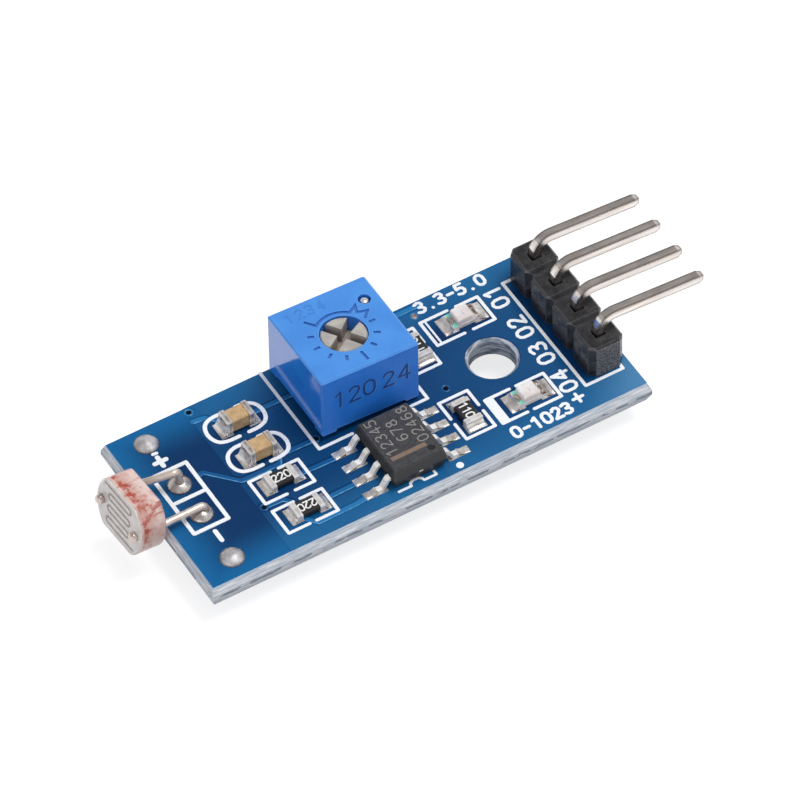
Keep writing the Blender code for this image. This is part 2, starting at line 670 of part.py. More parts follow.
def make_trimmer_housing(plastic, frame):
    """Moulded box, open below, with corner feet, a rotor hole, a sight hole and an engraved dial."""
    stack = trimmer_stack()
    top = TRIMMER_HEIGHT
    levels = ((0.0, 0.0), (top - TRIMMER_TOP_EDGE, 0.0), (top, TRIMMER_TOP_EDGE))
    rings = [level_ring(rectangle(TRIMMER_LENGTH - 2 * inset, TRIMMER_WIDTH - 2 * inset,
                                  TRIMMER_CORNER), z) for z, inset in levels]
    housing = add_piece("trimmer_housing", loft(rings), plastic, parent=frame)

    past = 0.5
    inner = TRIMMER_LENGTH / 2 - TRIMMER_FOOT
    outer = TRIMMER_LENGTH / 2 + past
    side = TRIMMER_WIDTH / 2 - TRIMMER_FOOT
    reach = TRIMMER_WIDTH / 2 + past
    cross = [(-outer, -side), (-inner, -side), (-inner, -reach), (inner, -reach), (inner, -side),
             (outer, -side), (outer, side), (inner, side), (inner, reach), (-inner, reach),
             (-inner, side), (-outer, side)]
    cut(housing, prism(cross, -past, TRIMMER_FOOT_HEIGHT), "trimmer_stand_off")

    cavity = rectangle(TRIMMER_LENGTH - 2 * TRIMMER_WALL, TRIMMER_WIDTH - 2 * TRIMMER_WALL,
                       TRIMMER_CORNER)
    cut(housing, prism(cavity, -past, stack["ceiling"]), "trimmer_cavity")
    x, y = terminal_places()[2]
    holes = prism(circle(ROTOR_DIAMETER / 2 + RUNNING_FIT, ROUND, ROTOR_X, ROTOR_Y), 1.0, top + past)
    add_prism(holes, circle(WINDOW_DIAMETER / 2, ROUND_SMALL, x, y), 1.0, top + past)
    cut(housing, holes, "trimmer_holes")

    dial = bmesh.new()
    for outline in dial_outlines():
        add_prism(dial, outline, top - DIAL_DEPTH, top + past)
    cut(housing, dial, "trimmer_dial")
    return housing


def make_trimmer(plastic, rotor_plastic, rubber, brass, ceramic, epoxy, tin, solder):
    """Square single-turn trimmer and its soldered terminals."""
    matrix = trimmer_matrix()
    stack = trimmer_stack()
    frame = add_frame("trimmer_frame", matrix.translation)
    frame.rotation_euler = matrix.to_euler()
    make_trimmer_housing(plastic, frame)

    axis = add_frame("trimmer_axis", (ROTOR_X, ROTOR_Y, 0.0), (0.0, 0.0, ROTOR_ANGLE), frame)
    shaft = ROTOR_DIAMETER / 2
    top = TRIMMER_HEIGHT - ROTOR_RECESS
    flange_top = stack["flange"] + ROTOR_FLANGE_HEIGHT
    profile = [(0.0, stack["flange"]), (ROTOR_FLANGE_DIAMETER / 2, stack["flange"]),
               (ROTOR_FLANGE_DIAMETER / 2, flange_top), (shaft, flange_top),
               (shaft, top - 0.08), (shaft - 0.08, top), (0.0, top)]
    rotor = add_piece("trimmer_rotor", revolve(profile, ROUND), rotor_plastic, parent=axis)
    half = ROTOR_SLOT / 2
    past = shaft + 0.2
    flare = ROTOR_POINTER / 2
    slot = [(half, -half), (past, -flare), (past, flare), (half, half), (half, past), (-half, past),
            (-half, half), (-past, half), (-past, -half), (-half, -half), (-half, -past),
            (half, -past)]
    cut(rotor, prism(slot, top - ROTOR_SLOT_DEPTH, top + 0.5), "rotor_slot")

    section = RING_SECTION / 2
    middle = shaft + FILM + section
    ring = [(middle + section * math.cos(a), stack["ring"] + section + section * math.sin(a))
            for a in [2 * math.pi * i / 10 for i in range(10)]]
    add_piece("trimmer_seal_ring", revolve(ring, ROUND), rubber, parent=frame,
              place=(ROTOR_X, ROTOR_Y, 0.0))

    low = stack["wiper"]
    band = [(0.7, low), (WIPER_DIAMETER / 2, low),
            (WIPER_DIAMETER / 2, low + WIPER_THICKNESS), (0.7, low + WIPER_THICKNESS)]
    add_piece("trimmer_wiper", revolve(band, ROUND), brass, parent=axis)

    bore = TERMINAL_DIAMETER / 2 + 2 * FILM
    fit = 2 * (TRIMMER_WALL + FILM)
    plates = (
        ("trimmer_element", ceramic, ELEMENT_SIZE, ELEMENT_SIZE, "element", ELEMENT_THICKNESS),
        ("trimmer_base_seal", epoxy, TRIMMER_LENGTH - fit, TRIMMER_WIDTH - fit, "seal",
         SEAL_THICKNESS),
    )
    for name, material, length, width, level, thickness in plates:
        outline = rectangle(length, width, TRIMMER_CORNER)
        plate = add_piece(name, prism(outline, stack[level], stack[level] + thickness), material,
                          parent=frame)
        bores = bmesh.new()
        for x, y in terminal_places():
            add_prism(bores, circle(bore, WIRE_SIDES, x, y), 0.0, stack["flange"])
        cut(plate, bores, f"{name}_bores")

    heights = (TRIMMER_HEIGHT - WINDOW_DROP, stack["wiper"] - 2 * FILM,
               TRIMMER_HEIGHT - WINDOW_DROP)
    radius = TERMINAL_DIAMETER / 2
    for number, ((x, y), height) in enumerate(zip(terminal_places(), heights), 1):
        height = min(height, stack["ceiling"] - FILM) if number == 1 else height
        hole_x, hole_y = terminal_hole((x, y))
        path = [matrix @ Vector((x, y, height)), matrix @ Vector((x, y, height - 0.12)),
                matrix @ Vector((x, y, TRIMMER_FOOT_HEIGHT)),
                Vector((hole_x, hole_y, BOARD_THICKNESS)),
                Vector((hole_x, hole_y, -TERMINAL_TAIL))]
        radii = [0.6 * radius] + [radius] * 4
        add_piece(f"trimmer_pin_{number}", wire(path, radii), tin)
        profile = solder_profile(TERMINAL_HOLE_DIAMETER, TERMINAL_PAD_DIAMETER,
                                 radius + FILM, 0.0, TERMINAL_SOLDER_UNDER, False)
        add_piece(f"trimmer_solder_{number}", revolve(profile, ROUND_SMALL), solder,
                  place=(hole_x, hole_y, 0.0))


def gull_wing():
    """Stations of one lead, from inside the package's side to the end of its foot."""
    mid = CHIP_STANDOFF + CHIP_HEIGHT / 2
    foot = LEAD_THICKNESS / 2 + SOLDER_FILM - FILM
    start = CHIP_WIDTH / 2 + FILM
    end = CHIP_SPAN / 2
    knee = start + LEAD_SHOULDER
    ankle = end - LEAD_FOOT
    lean = math.atan2(mid - foot, ankle - knee)
    reach = LEAD_BEND_RADIUS * math.tan(lean / 2)
    stations = [(start, mid, 0.0, 1.0)]
    angles = [lean * i / (CURVE_STEPS - 1) for i in range(CURVE_STEPS)]
    for a in angles:
        stations.append((knee - reach + LEAD_BEND_RADIUS * math.sin(a),
                         mid - LEAD_BEND_RADIUS * (1.0 - math.cos(a)), -a, 1.0))
    for a in reversed(angles):
        stations.append((ankle + reach - LEAD_BEND_RADIUS * math.sin(a),
                         foot + LEAD_BEND_RADIUS * (1.0 - math.cos(a)), -a, 1.0))
    stations.append((end, foot, 0.0, 1.0))
    return stations


def make_comparator(plastic, tin):
    """Moulded package with drafted sides and eight gull-wing leads."""
    seat = BOARD_THICKNESS + FILM
    low, high = CHIP_STANDOFF, CHIP_STANDOFF + CHIP_HEIGHT
    middle = (low + high) / 2
    levels = ((low, CHIP_DRAFT), (middle, 0.0), (high - CHIP_CORNER, CHIP_DRAFT * 0.9),
              (high, CHIP_DRAFT + CHIP_CORNER))
    rings = [level_ring(bevelled_rectangle(CHIP_WIDTH - 2 * inset, CHIP_LENGTH - 2 * inset,
                                           CHIP_CORNER), z) for z, inset in levels]
    body = add_piece("comparator_body", loft(rings), plastic, place=(CHIP_X, CHIP_Y, seat))
    dimple = revolve([(0.0, high - DIMPLE_DEPTH), (DIMPLE_DIAMETER / 2 * 0.75, high - DIMPLE_DEPTH),
                      (DIMPLE_DIAMETER / 2, high), (DIMPLE_DIAMETER / 2, high + 0.3),
                      (0.0, high + 0.3)], ROUND_SMALL)
    place = (CHIP_WIDTH / 2 - DIMPLE_INSET, -CHIP_LENGTH / 2 + DIMPLE_INSET, 0.0)
    bmesh.ops.translate(dimple, vec=place, verts=dimple.verts)
    cut(body, dimple, "comparator_dimple")

    rows = CHIP_LEADS // 2
    number = 0
    for turn, side in ((180.0, -1), (0.0, 1)):
        for i in range(rows):
            number += 1
            y = CHIP_Y + side * CHIP_PITCH * (i - (rows - 1) / 2)
            add_piece(f"comparator_lead_{number}", bar(gull_wing(), LEAD_WIDTH, LEAD_THICKNESS),
                      tin, place=(CHIP_X, y, seat), turn=turn)


def end_cap(height):
    """Plated end of a chip part: a five-sided cap, open towards the middle."""
    end = CHIP_PART_LENGTH / 2
    wall = CAP_WALL

    def ring(x, inset):
        outline = bevelled_rectangle(CHIP_PART_WIDTH - 2 * inset, height - 2 * inset, CAP_EDGE)
        return [(x, y, height / 2 + z) for y, z in outline]

    return loft([ring(end, CAP_EDGE), ring(end - CAP_EDGE, 0.0), ring(end - CAP_REACH, 0.0),
                 ring(end - CAP_REACH, wall), ring(end - wall, wall)])


def chip_body(height):
    """Ceramic block that runs into both plated ends."""
    inset = CAP_WALL + FILM
    length = CHIP_PART_LENGTH - 2 * inset
    outline = bevelled_rectangle(CHIP_PART_WIDTH - 2 * inset, height - 2 * inset, CAP_EDGE)
    return loft([[(x, y, height / 2 + z) for y, z in outline] for x in (-length / 2, length / 2)])


def make_chip_parts(kind, places, height, body_material, tin):
    """Surface-mounted resistors or capacitors, each a body with two plated ends."""
    seat = BOARD_THICKNESS + SOLDER_FILM
    for number, (x, y, turn) in enumerate(places, 1):
        name = f"{kind}_{number}"
        add_piece(f"{name}_body", chip_body(height), body_material, place=(x, y, seat), turn=turn)
        for end, flip in (("a", 180.0), ("b", 0.0)):
            add_piece(f"{name}_cap_{end}", end_cap(height), tin, place=(x, y, seat),
                      turn=turn + flip)


def make_lamps(base_material, lens_material):
    """Surface-mounted lamps: a notched substrate and a moulded clear lens."""
    seat = BOARD_THICKNESS + SOLDER_FILM
    half_l, half_w = CHIP_PART_LENGTH / 2, CHIP_PART_WIDTH / 2
    end = [(half_l, -half_w)]
    for i in range(CURVE_STEPS + 2):
        a = -math.pi / 2 - math.pi * i / (CURVE_STEPS + 1)
        end.append((half_l + LAMP_NOTCH * math.cos(a), LAMP_NOTCH * math.sin(a)))
    end.append((half_l, half_w))
    outline = end + [(-x, -y) for x, y in end]
    low = LAMP_BASE_HEIGHT + FILM
    high = low + LAMP_LENS_HEIGHT
    levels = ((low, 0.0), (high - LAMP_LENS_EDGE, LAMP_LENS_DRAFT),
              (high, LAMP_LENS_DRAFT + LAMP_LENS_EDGE))
    lens_width = CHIP_PART_WIDTH - 0.06
    for number, (x, y, turn) in enumerate(LAMP_PLACES, 1):
        add_piece(f"lamp_{number}_base", prism(outline, 0.0, LAMP_BASE_HEIGHT), base_material,
                  place=(x, y, seat), turn=turn)
        rings = [level_ring(bevelled_rectangle(LAMP_LENS_LENGTH - 2 * inset,
                                               lens_width - inset, LAMP_LENS_EDGE), z)
                 for z, inset in levels]
        add_piece(f"lamp_{number}_lens", loft(rings), lens_material, place=(x, y, seat), turn=turn)


def build():
    """Model the whole module."""
    start_clean()
    mask = make_material("blue_solder_mask", (0.012, 0.070, 0.190), 0.35)
    black = make_material("black_header_plastic", (0.030, 0.030, 0.034), 0.55)
    tin = make_material("bright_tin", (0.72, 0.69, 0.66), 0.25, 1.0)
    solder = make_material("solder", (0.66, 0.66, 0.67), 0.30, 1.0)
    sensor = make_material("sensor_ceramic", (0.62, 0.47, 0.42), 0.55)
    blue = make_material("trimmer_blue", (0.045, 0.220, 0.640), 0.40)
    rotor = make_material("rotor_plastic", (0.56, 0.52, 0.49), 0.45)
    rubber = make_material("seal_rubber", (0.020, 0.020, 0.022), 0.70)
    brass = make_material("contact_brass", (0.78, 0.57, 0.25), 0.30, 1.0)
    alumina = make_material("white_alumina", (0.80, 0.80, 0.78), 0.50)
    epoxy = make_material("base_epoxy", (0.10, 0.12, 0.30), 0.50)
    package = make_material("package_plastic", (0.048, 0.048, 0.052), 0.60)
    resistor = make_material("resistor_glaze", (0.022, 0.022, 0.024), 0.40)
    capacitor = make_material("capacitor_ceramic", (0.60, 0.38, 0.19), 0.45)
    substrate = make_material("lamp_substrate", (0.62, 0.66, 0.60), 0.45)
    lens = make_material("lamp_lens", (0.76, 0.74, 0.72), 0.25)

    make_board(mask)
    make_header(black, tin, solder)
    make_light_sensor(sensor, tin, solder)
    make_spare_pads(solder)
    make_trimmer(blue, rotor, rubber, brass, alumina, epoxy, tin, solder)
    make_comparator(package, tin)
    make_chip_parts("resistor", RESISTOR_PLACES, RESISTOR_HEIGHT, resistor, tin)
    make_chip_parts("capacitor", CAPACITOR_PLACES, CAPACITOR_HEIGHT, capacitor, tin)
    make_lamps(substrate, lens)


build()
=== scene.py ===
"""Looks of the light sensor module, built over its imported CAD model.

Lengths are in millimetres until a mesh becomes a piece. X runs along the board from the light
sensor to the pin header, Y across it and Z up, from the middle of the board's underside.
"""
import itertools
import json
import math

import bmesh
import bpy
from mathutils import Matrix, Vector

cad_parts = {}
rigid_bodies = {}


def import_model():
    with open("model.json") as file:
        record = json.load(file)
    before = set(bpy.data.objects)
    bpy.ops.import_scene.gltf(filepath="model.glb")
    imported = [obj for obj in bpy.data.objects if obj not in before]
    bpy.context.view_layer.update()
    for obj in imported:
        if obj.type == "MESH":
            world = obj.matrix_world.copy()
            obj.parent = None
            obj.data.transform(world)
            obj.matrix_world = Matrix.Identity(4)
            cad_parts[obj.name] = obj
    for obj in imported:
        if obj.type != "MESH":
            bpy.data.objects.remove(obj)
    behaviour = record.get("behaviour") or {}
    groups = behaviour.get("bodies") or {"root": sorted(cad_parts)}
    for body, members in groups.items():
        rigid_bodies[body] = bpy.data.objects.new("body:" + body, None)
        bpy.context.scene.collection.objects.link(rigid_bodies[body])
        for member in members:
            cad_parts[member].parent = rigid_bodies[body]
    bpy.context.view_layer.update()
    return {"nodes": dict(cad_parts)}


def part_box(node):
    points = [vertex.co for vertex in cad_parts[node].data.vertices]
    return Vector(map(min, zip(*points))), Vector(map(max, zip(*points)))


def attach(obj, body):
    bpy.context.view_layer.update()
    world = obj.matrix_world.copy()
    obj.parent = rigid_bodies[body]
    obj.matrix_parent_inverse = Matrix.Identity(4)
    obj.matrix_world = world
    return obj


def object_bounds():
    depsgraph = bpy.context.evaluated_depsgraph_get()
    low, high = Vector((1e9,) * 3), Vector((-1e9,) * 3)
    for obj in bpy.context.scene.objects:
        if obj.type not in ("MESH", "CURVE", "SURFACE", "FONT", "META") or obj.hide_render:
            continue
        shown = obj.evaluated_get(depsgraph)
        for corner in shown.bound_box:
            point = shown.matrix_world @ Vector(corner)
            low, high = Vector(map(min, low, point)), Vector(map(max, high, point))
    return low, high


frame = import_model()


# Circuit board
# A sheet of woven glass and epoxy under a glossy blue solder mask. It is routed and drilled in a
# panel and snapped off along V scores, so its edges and its screw hole show bare pale laminate.
MM = 0.001
BOARD_LENGTH = 32.0
BOARD_WIDTH = 14.0
BOARD_TOP = 1.6
HOLE_X = 8.56
HOLE_Y = 0.12
HOLE_WALL = 1.8             # within this radius the bare laminate is the screw hole's
HOLE_CLEAR = 1.78
# The mask's deep blue, and the lighter blue of its painted glow near the board's cut edges.
MASK_DEEP = "#033362"
MASK_GLOW = "#11639B"
MASK_LEVELS = {"Specular IOR Level": 0.2}


def tint(code):
    """A colour as written for a screen, in the linear values that a shader takes."""
    shares = [int(code[i:i + 2], 16) / 255 for i in (1, 3, 5)]
    linear = [c / 12.92 if c <= 0.04045 else ((c + 0.055) / 1.055) ** 2.4 for c in shares]
    return (*linear, 1.0)


def put(tree, kind, inputs, **settings):
    """Add a node, and feed each of its inputs a value or another node's output."""
    node = tree.nodes.new(kind)
    for name, value in settings.items():
        setattr(node, name, value)
    for name, value in inputs.items():
        if isinstance(value, bpy.types.NodeSocket):
            tree.links.new(value, node.inputs[name])
        else:
            node.inputs[name].default_value = value
    return node


def sums(tree, operation, first, second=0.0):
    """One sum on two numbers."""
    return put(tree, "ShaderNodeMath", {0: first, 1: second}, operation=operation).outputs[0]


def times(tree, first, second):
    """The product of two numbers."""
    return sums(tree, "MULTIPLY", first, second)


def pick(tree, share, first, second):
    """Mix two numbers."""
    node = put(tree, "ShaderNodeMix", {0: share, 2: first, 3: second}, data_type="FLOAT")
    return node.outputs[0]


def split(tree, vector):
    """The parts of a vector along X, Y and Z."""
    return put(tree, "ShaderNodeSeparateXYZ", {"Vector": vector}).outputs


def facing(tree):
    """The parts of the direction that the surface faces."""
    return split(tree, put(tree, "ShaderNodeNewGeometry", {}).outputs["Normal"])


def from_axis(tree, parts, x, y):
    """Distance from an upright line at a place in millimetres."""
    squares = [sums(tree, "POWER", sums(tree, "SUBTRACT", part, middle * MM), 2.0)
               for part, middle in ((parts["X"], x), (parts["Y"], y))]
    return sums(tree, "SQRT", sums(tree, "ADD", *squares))


def spread(tree, value, low, high, to_low=0.0, to_high=1.0):
    """Map a number smoothly from one span to another."""
    inputs = {"Value": value, "From Min": low, "From Max": high, "To Min": to_low,
              "To Max": to_high}
    node = put(tree, "ShaderNodeMapRange", inputs, interpolation_type="SMOOTHSTEP")
    return node.outputs["Result"]


def blend(tree, share, first, second):
    """Mix two colours."""
    first = tint(first) if isinstance(first, str) else first
    second = tint(second) if isinstance(second, str) else second
    node = put(tree, "ShaderNodeMix", {0: share, 6: first, 7: second}, data_type="RGBA")
    return node.outputs[2]


def coated(tree, color, *coats):
    """A colour under others, each laid on by its own share."""
    for share, coat in coats:
        color = blend(tree, share, color, coat)
    return color


def cloud(tree, place, scale, detail=3.0):
    """Noise between 0 and 1."""
    inputs = {"Vector": place, "Scale": scale, "Detail": detail}
    return put(tree, "ShaderNodeTexNoise", inputs).outputs["Fac"]


def stretched(tree, place, scale, shift=(0.0, 0.0, 0.0)):
    """Coordinates moved and stretched to suit one piece."""
    inputs = {"Vector": place, "Location": shift, "Scale": scale}
    return put(tree, "ShaderNodeMapping", inputs).outputs["Vector"]


def seen_from(tree, place, matrix):
    """Coordinates in the frame of a part whose own place is in millimetres."""
    inputs = {"Vector": place, "Location": matrix.translation * MM, "Rotation": matrix.to_euler()}
    return put(tree, "ShaderNodeMapping", inputs, vector_type="TEXTURE").outputs["Vector"]


def mottle(tree, place, scale, dark, painted_corner_reflection, low=None, high=None, detail=3.0):
    """Two tones mixed by noise, within a span of it where one is given."""
    share = cloud(tree, place, scale, detail)
    if low is not None:
        share = spread(tree, share, low, high)
    return blend(tree, share, dark, painted_corner_reflection)


def new_group(name, takes, gives, kind="Float"):
    """An effect that several finishes share. It takes numbers, and a vector where None stands."""
    tree = bpy.data.node_groups.new(name, "ShaderNodeTree")
    for socket, value in takes.items():
        if value is None:
            tree.interface.new_socket(socket, in_out="INPUT", socket_type="NodeSocketVector")
        else:
            made = tree.interface.new_socket(socket, in_out="INPUT", socket_type="NodeSocketFloat")
            made.default_value = value
    tree.interface.new_socket(gives, in_out="OUTPUT", socket_type="NodeSocket" + kind)
    return tree, tree.nodes.new("NodeGroupInput").outputs, tree.nodes.new("NodeGroupOutput").inputs


def use(tree, group, **inputs):
    """Place a shared effect and take what it gives."""
    return put(tree, "ShaderNodeGroup", inputs, node_tree=group).outputs[0]


# Fine relief of a surface, as a normal.
grain, grain_in, grain_out = new_group(
    "grain", {"Place": None, "Scale": 2000.0, "Depth": 0.00001}, "Normal", "Vector")
grain_noise = cloud(grain, grain_in["Place"], grain_in["Scale"], 4.0)
grain_bump = put(grain, "ShaderNodeBump", {"Height": grain_noise, "Strength": 1.0,
                                           "Distance": grain_in["Depth"]})
grain.links.new(grain_bump.outputs["Normal"], grain_out["Normal"])

# How near a point lies to the board's cut edge, for the painted glow of light that shines through
# the laminate there.
painted_rim_glow, rim_in, rim_out = new_group("painted_rim_glow", {"Place": None, "Reach": 0.0035}, "Mask")
rim_parts = split(painted_rim_glow, rim_in["Place"])
rim_gaps = [sums(painted_rim_glow, "SUBTRACT", size / 2 * MM, sums(painted_rim_glow, "ABSOLUTE", part))
            for size, part in ((BOARD_LENGTH, rim_parts["X"]), (BOARD_WIDTH, rim_parts["Y"]))]
rim_share = spread(painted_rim_glow, sums(painted_rim_glow, "MINIMUM", *rim_gaps), 0.0, rim_in["Reach"], 1.0, 0.0)
painted_rim_glow.links.new(rim_share, rim_out["Mask"])

# Fine relief over a form whose facets are rounded off, as on solder that set from a drop.
flowed, flowed_in, flowed_out = new_group(
    "flowed", {"Place": None, "Scale": 1000.0, "Depth": 0.00001, "Radius": 0.0002},
    "Normal", "Vector")
flowed_noise = cloud(flowed, flowed_in["Place"], flowed_in["Scale"], 3.0)
flowed_round = put(flowed, "ShaderNodeBevel", {"Radius": flowed_in["Radius"]}, samples=8)
flowed_bump = put(flowed, "ShaderNodeBump", {"Height": flowed_noise, "Strength": 1.0,
                                             "Distance": flowed_in["Depth"],
                                             "Normal": flowed_round.outputs["Normal"]})
flowed.links.new(flowed_bump.outputs["Normal"], flowed_out["Normal"])

# Edges of a piece, as a mask: most finishes use it for a painted highlight, and the header pins for
# a darker brown.
edge_band, edge_band_in, edge_band_out = new_group("edge_band", {"Radius": 0.0001}, "Mask")
edge_band_round = put(edge_band, "ShaderNodeBevel", {"Radius": edge_band_in["Radius"]}, samples=4)
edge_band_true = put(edge_band, "ShaderNodeNewGeometry", {})
edge_band_dot = put(edge_band, "ShaderNodeVectorMath",
               {0: edge_band_round.outputs["Normal"], 1: edge_band_true.outputs["Normal"]},
               operation="DOT_PRODUCT")
edge_band_amount = spread(edge_band, edge_band_dot.outputs["Value"], 0.998, 0.88)
edge_band.links.new(edge_band_amount, edge_band_out["Mask"])


def edge_tinted(tree, base, radius, share, color):
    """A colour that changes along the edges of its piece."""
    edges = use(tree, edge_band, Radius=radius)
    return blend(tree, times(tree, edges, share), base, color)


def feed(shader, name, value):
    """Link a node's output to one input of a shader."""
    shader.id_data.links.new(value, shader.inputs[name])


def opened(finish):
    """A finish's node tree, its shader and the place on its piece."""
    tree = finish.node_tree
    place = put(tree, "ShaderNodeTexCoord", {}).outputs["Object"]
    return tree, tree.nodes["Principled BSDF"], place


def new_finish(name, color, roughness, metallic=0.0, levels=None, tones=None, shine=None,
               relief=None, flow=None):
    """A material: its even values, then mottled tones, uneven shine and fine relief."""
    made = bpy.data.materials.new(name)
    made.use_nodes = True
    tree, shader, place = opened(made)
    even = {"Base Color": tint(color), "Roughness": roughness, "Metallic": metallic}
    for key, value in (even | (levels or {})).items():
        shader.inputs[key].default_value = value
    if tones:
        feed(shader, "Base Color", mottle(tree, place, *tones))
    if shine:
        scale, low, high = shine
        feed(shader, "Roughness", spread(tree, cloud(tree, place, scale), 0.3, 0.7, low, high))
    for group, shape in ((grain, relief), (flowed, flow)):
        if shape:
            scale, depth = shape
            feed(shader, "Normal", use(tree, group, Place=place, Scale=scale, Depth=depth))
    return made


board_finish = new_finish("solder_mask_and_laminate", MASK_DEEP, 0.24, levels=MASK_LEVELS)
tree, shader, place = opened(board_finish)
parts = split(tree, place)
from_middle = sums(tree, "ABSOLUTE", sums(tree, "SUBTRACT", parts["Z"], BOARD_TOP / 2 * MM))
on_face = sums(tree, "GREATER_THAN", from_middle, (BOARD_TOP / 2 - 0.004) * MM)
layers = cloud(tree, stretched(tree, place, (0.12, 0.12, 2.0)), 7000.0, 5.0)
fibres = cloud(tree, stretched(tree, place, (0.07, 0.07, 1.0), shift=(0.3, 0.1, 0.0)), 9000.0, 3.0)
dashes = cloud(tree, stretched(tree, place, (0.22, 0.22, 0.5), shift=(0.7, 0.2, 0.0)), 5000.0, 2.0)
waver = times(tree, sums(tree, "SUBTRACT", cloud(tree, place, 900.0, 2.0), 0.5), 0.3 * MM)
depth = sums(tree, "ADD", parts["Z"], waver)
core = times(tree, spread(tree, depth, 0.66 * MM, 0.72 * MM),
             spread(tree, depth, 0.92 * MM, 0.86 * MM))
broken = times(tree, core, spread(tree, dashes, 0.47, 0.52))
upper = spread(tree, parts["Z"], 1.4 * MM, 1.58 * MM)
drilled = sums(tree, "LESS_THAN", from_axis(tree, parts, HOLE_X, HOLE_Y), HOLE_WALL * MM)
cut_streaks = cloud(tree, stretched(tree, place, (0.2, 0.2, 1.0)), 5200.0, 4.0)
bore = blend(tree, spread(tree, cut_streaks, 0.38, 0.6), "#6C7888", "#C3CAD4")
laminate = coated(tree, "#B7C0CC", (spread(tree, layers, 0.36, 0.62), "#DFE4EB"),
                  (spread(tree, fibres, 0.54, 0.66), "#EEF1F5"),
                  (times(tree, broken, 0.8), "#758194"), (times(tree, upper, 0.6), "#B4CBE2"),
                  (drilled, bore))
# Near the cut edges the mask is lighter: a painted glow.
mask = blend(tree, use(tree, painted_rim_glow, Place=place, Reach=0.0036), MASK_DEEP, MASK_GLOW)
feed(shader, "Base Color", blend(tree, on_face, laminate, mask))
gloss = spread(tree, cloud(tree, place, 900.0), 0.3, 0.7, 0.2, 0.3)
feed(shader, "Roughness", pick(tree, on_face, 0.7, gloss))
ripple = times(tree, cloud(tree, place, 1500.0), 0.08)
relief = pick(tree, on_face, layers, ripple)
bump = put(tree, "ShaderNodeBump", {"Height": relief, "Strength": 0.8, "Distance": 0.000025})
feed(shader, "Normal", bump.outputs["Normal"])


def dress(finish, name, count=0):
    """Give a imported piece, or a numbered row of them, its finish."""
    for piece in [f"{name}_{i}" for i in range(1, count + 1)] or [name]:
        for held in frame["nodes"][piece].material_slots:
            held.material = finish


dress(board_finish, "pcb")


# Copper under the mask
# An etched copper pour and its tracks, coated with the same mask. The pour starts behind the
# sensor and stops short of every pad and track, which it leaves darker.
COPPER = 0.022
CLEARANCE = 0.12
TRACK = 0.34
POUR_LOW = (-10.2, -6.75)
POUR_HIGH = (15.75, 6.75)
PEN_SIDES = 12
TRACKS = (
    ((-12.0, 1.55), (-11.7, 1.6), (-10.0, -0.25), (-7.2, -0.3), (-6.9, 0.3), (-4.5, 0.25)),
    ((-6.6, 4.2), (-3.6, 4.2)),
    ((-10.15, 5.5), (-9.4, 5.4), (-8.9, 4.9)),
    ((-6.6, -1.65), (-6.0, -1.7), (-3.9, -1.75)),
    ((-6.4, -4.25), (-3.9, -4.2)),
    ((-8.4, -4.7), (-8.0, -5.2), (-7.6, -5.65), (-4.9, -5.62), (-3.9, -5.5)),
    ((-9.85, -2.85), (-8.6, -2.9), (-8.2, -3.3)),
    ((2.6, 6.36), (6.7, 6.36)),
)
VIAS = ((-9.85, -2.85), (-10.0, 6.3), (-4.3, 0.25), (4.75, -0.5), (6.15, 5.7))
PLUGGED_VIA = VIAS[4]
PLUG_RADIUS = 0.2
VIA_RING = 0.3
VIA_DRILL = 0.17
VIA_LAP = 0.03              # how far the pour laps over the rings that it joins
# Height of the near-black disc in each via's hole, a painted shade.
VIA_SHADE_HEIGHT = 0.034
# Width, inset and rise of the painted highlight strokes along the tracks.
TRACK_HIGHLIGHT_WIDTH = 0.06
TRACK_HIGHLIGHT_IN = 0.02
TRACK_HIGHLIGHT_RISE = 0.006
WINDOWS = (                 # low x, low y, high x, high y of bare laminate inside part outlines
    (-9.72, 3.02, -6.12, 5.06),
    (-9.72, 0.26, -6.12, 2.2),
    (-9.6, -2.62, -6.15, -0.66),
    (-9.55, -5.42, -6.1, -3.48),
    (3.76, -4.7, 5.76, -1.4),
    (3.46, 1.5, 5.5, 4.86),
    (6.2, 2.85, 10.36, 4.95),
    (6.36, -4.82, 10.56, -2.7),
    (12.42, -4.88, 15.1, 5.04),
)
UNDER_LOW_X = -15.75
UNDER_TRACKS = (
    ((14.2, 4.21), (12.4, 5.7), (3.2, 5.7), (1.97, 4.8)),
    ((14.2, 1.67), (12.2, 2.9), (5.8, 2.9), (4.1, 1.2), (0.5, 1.2), (-0.57, 2.26)),
    ((14.2, -0.87), (12.2, -2.5), (6.6, -2.5), (4.75, -0.5)),
    ((14.2, -3.41), (12.3, -5.4), (-7.6, -5.4), (-9.85, -2.85)),
    ((-13.42, 1.5), (-11.4, 3.3), (-4.6, 3.3), (-3.1, 4.8)),
    ((-13.5, 5.45), (-13.42, 1.5)),
    ((-13.35, -5.25), (-13.42, -1.22), (-5.8, -1.22), (-4.3, 0.25)),
)
UNDER_ROUNDS = [            # clearances round the soldered holes
    *((14.2, y, 1.1) for y in (4.21, 1.67, -0.87, -3.41)),
    *((-13.42, y, 1.0) for y in (1.5, -1.22)), (-13.5, 5.45, 1.0), (-13.35, -5.25, 1.0),
    (-3.1, 4.8, 1.0), (-0.57, 2.26, 1.0), (1.97, 4.8, 1.0),
]
STROKE_LIFTS = itertools.cycle([0.0005 * i for i in range(11)])


def moved(x, y, z):
    """A move, as a matrix."""
    return Matrix.Translation((x, y, z))


def turned(degrees, axis):
    """A turn about one axis, as a matrix."""
    return Matrix.Rotation(math.radians(degrees), 4, axis)


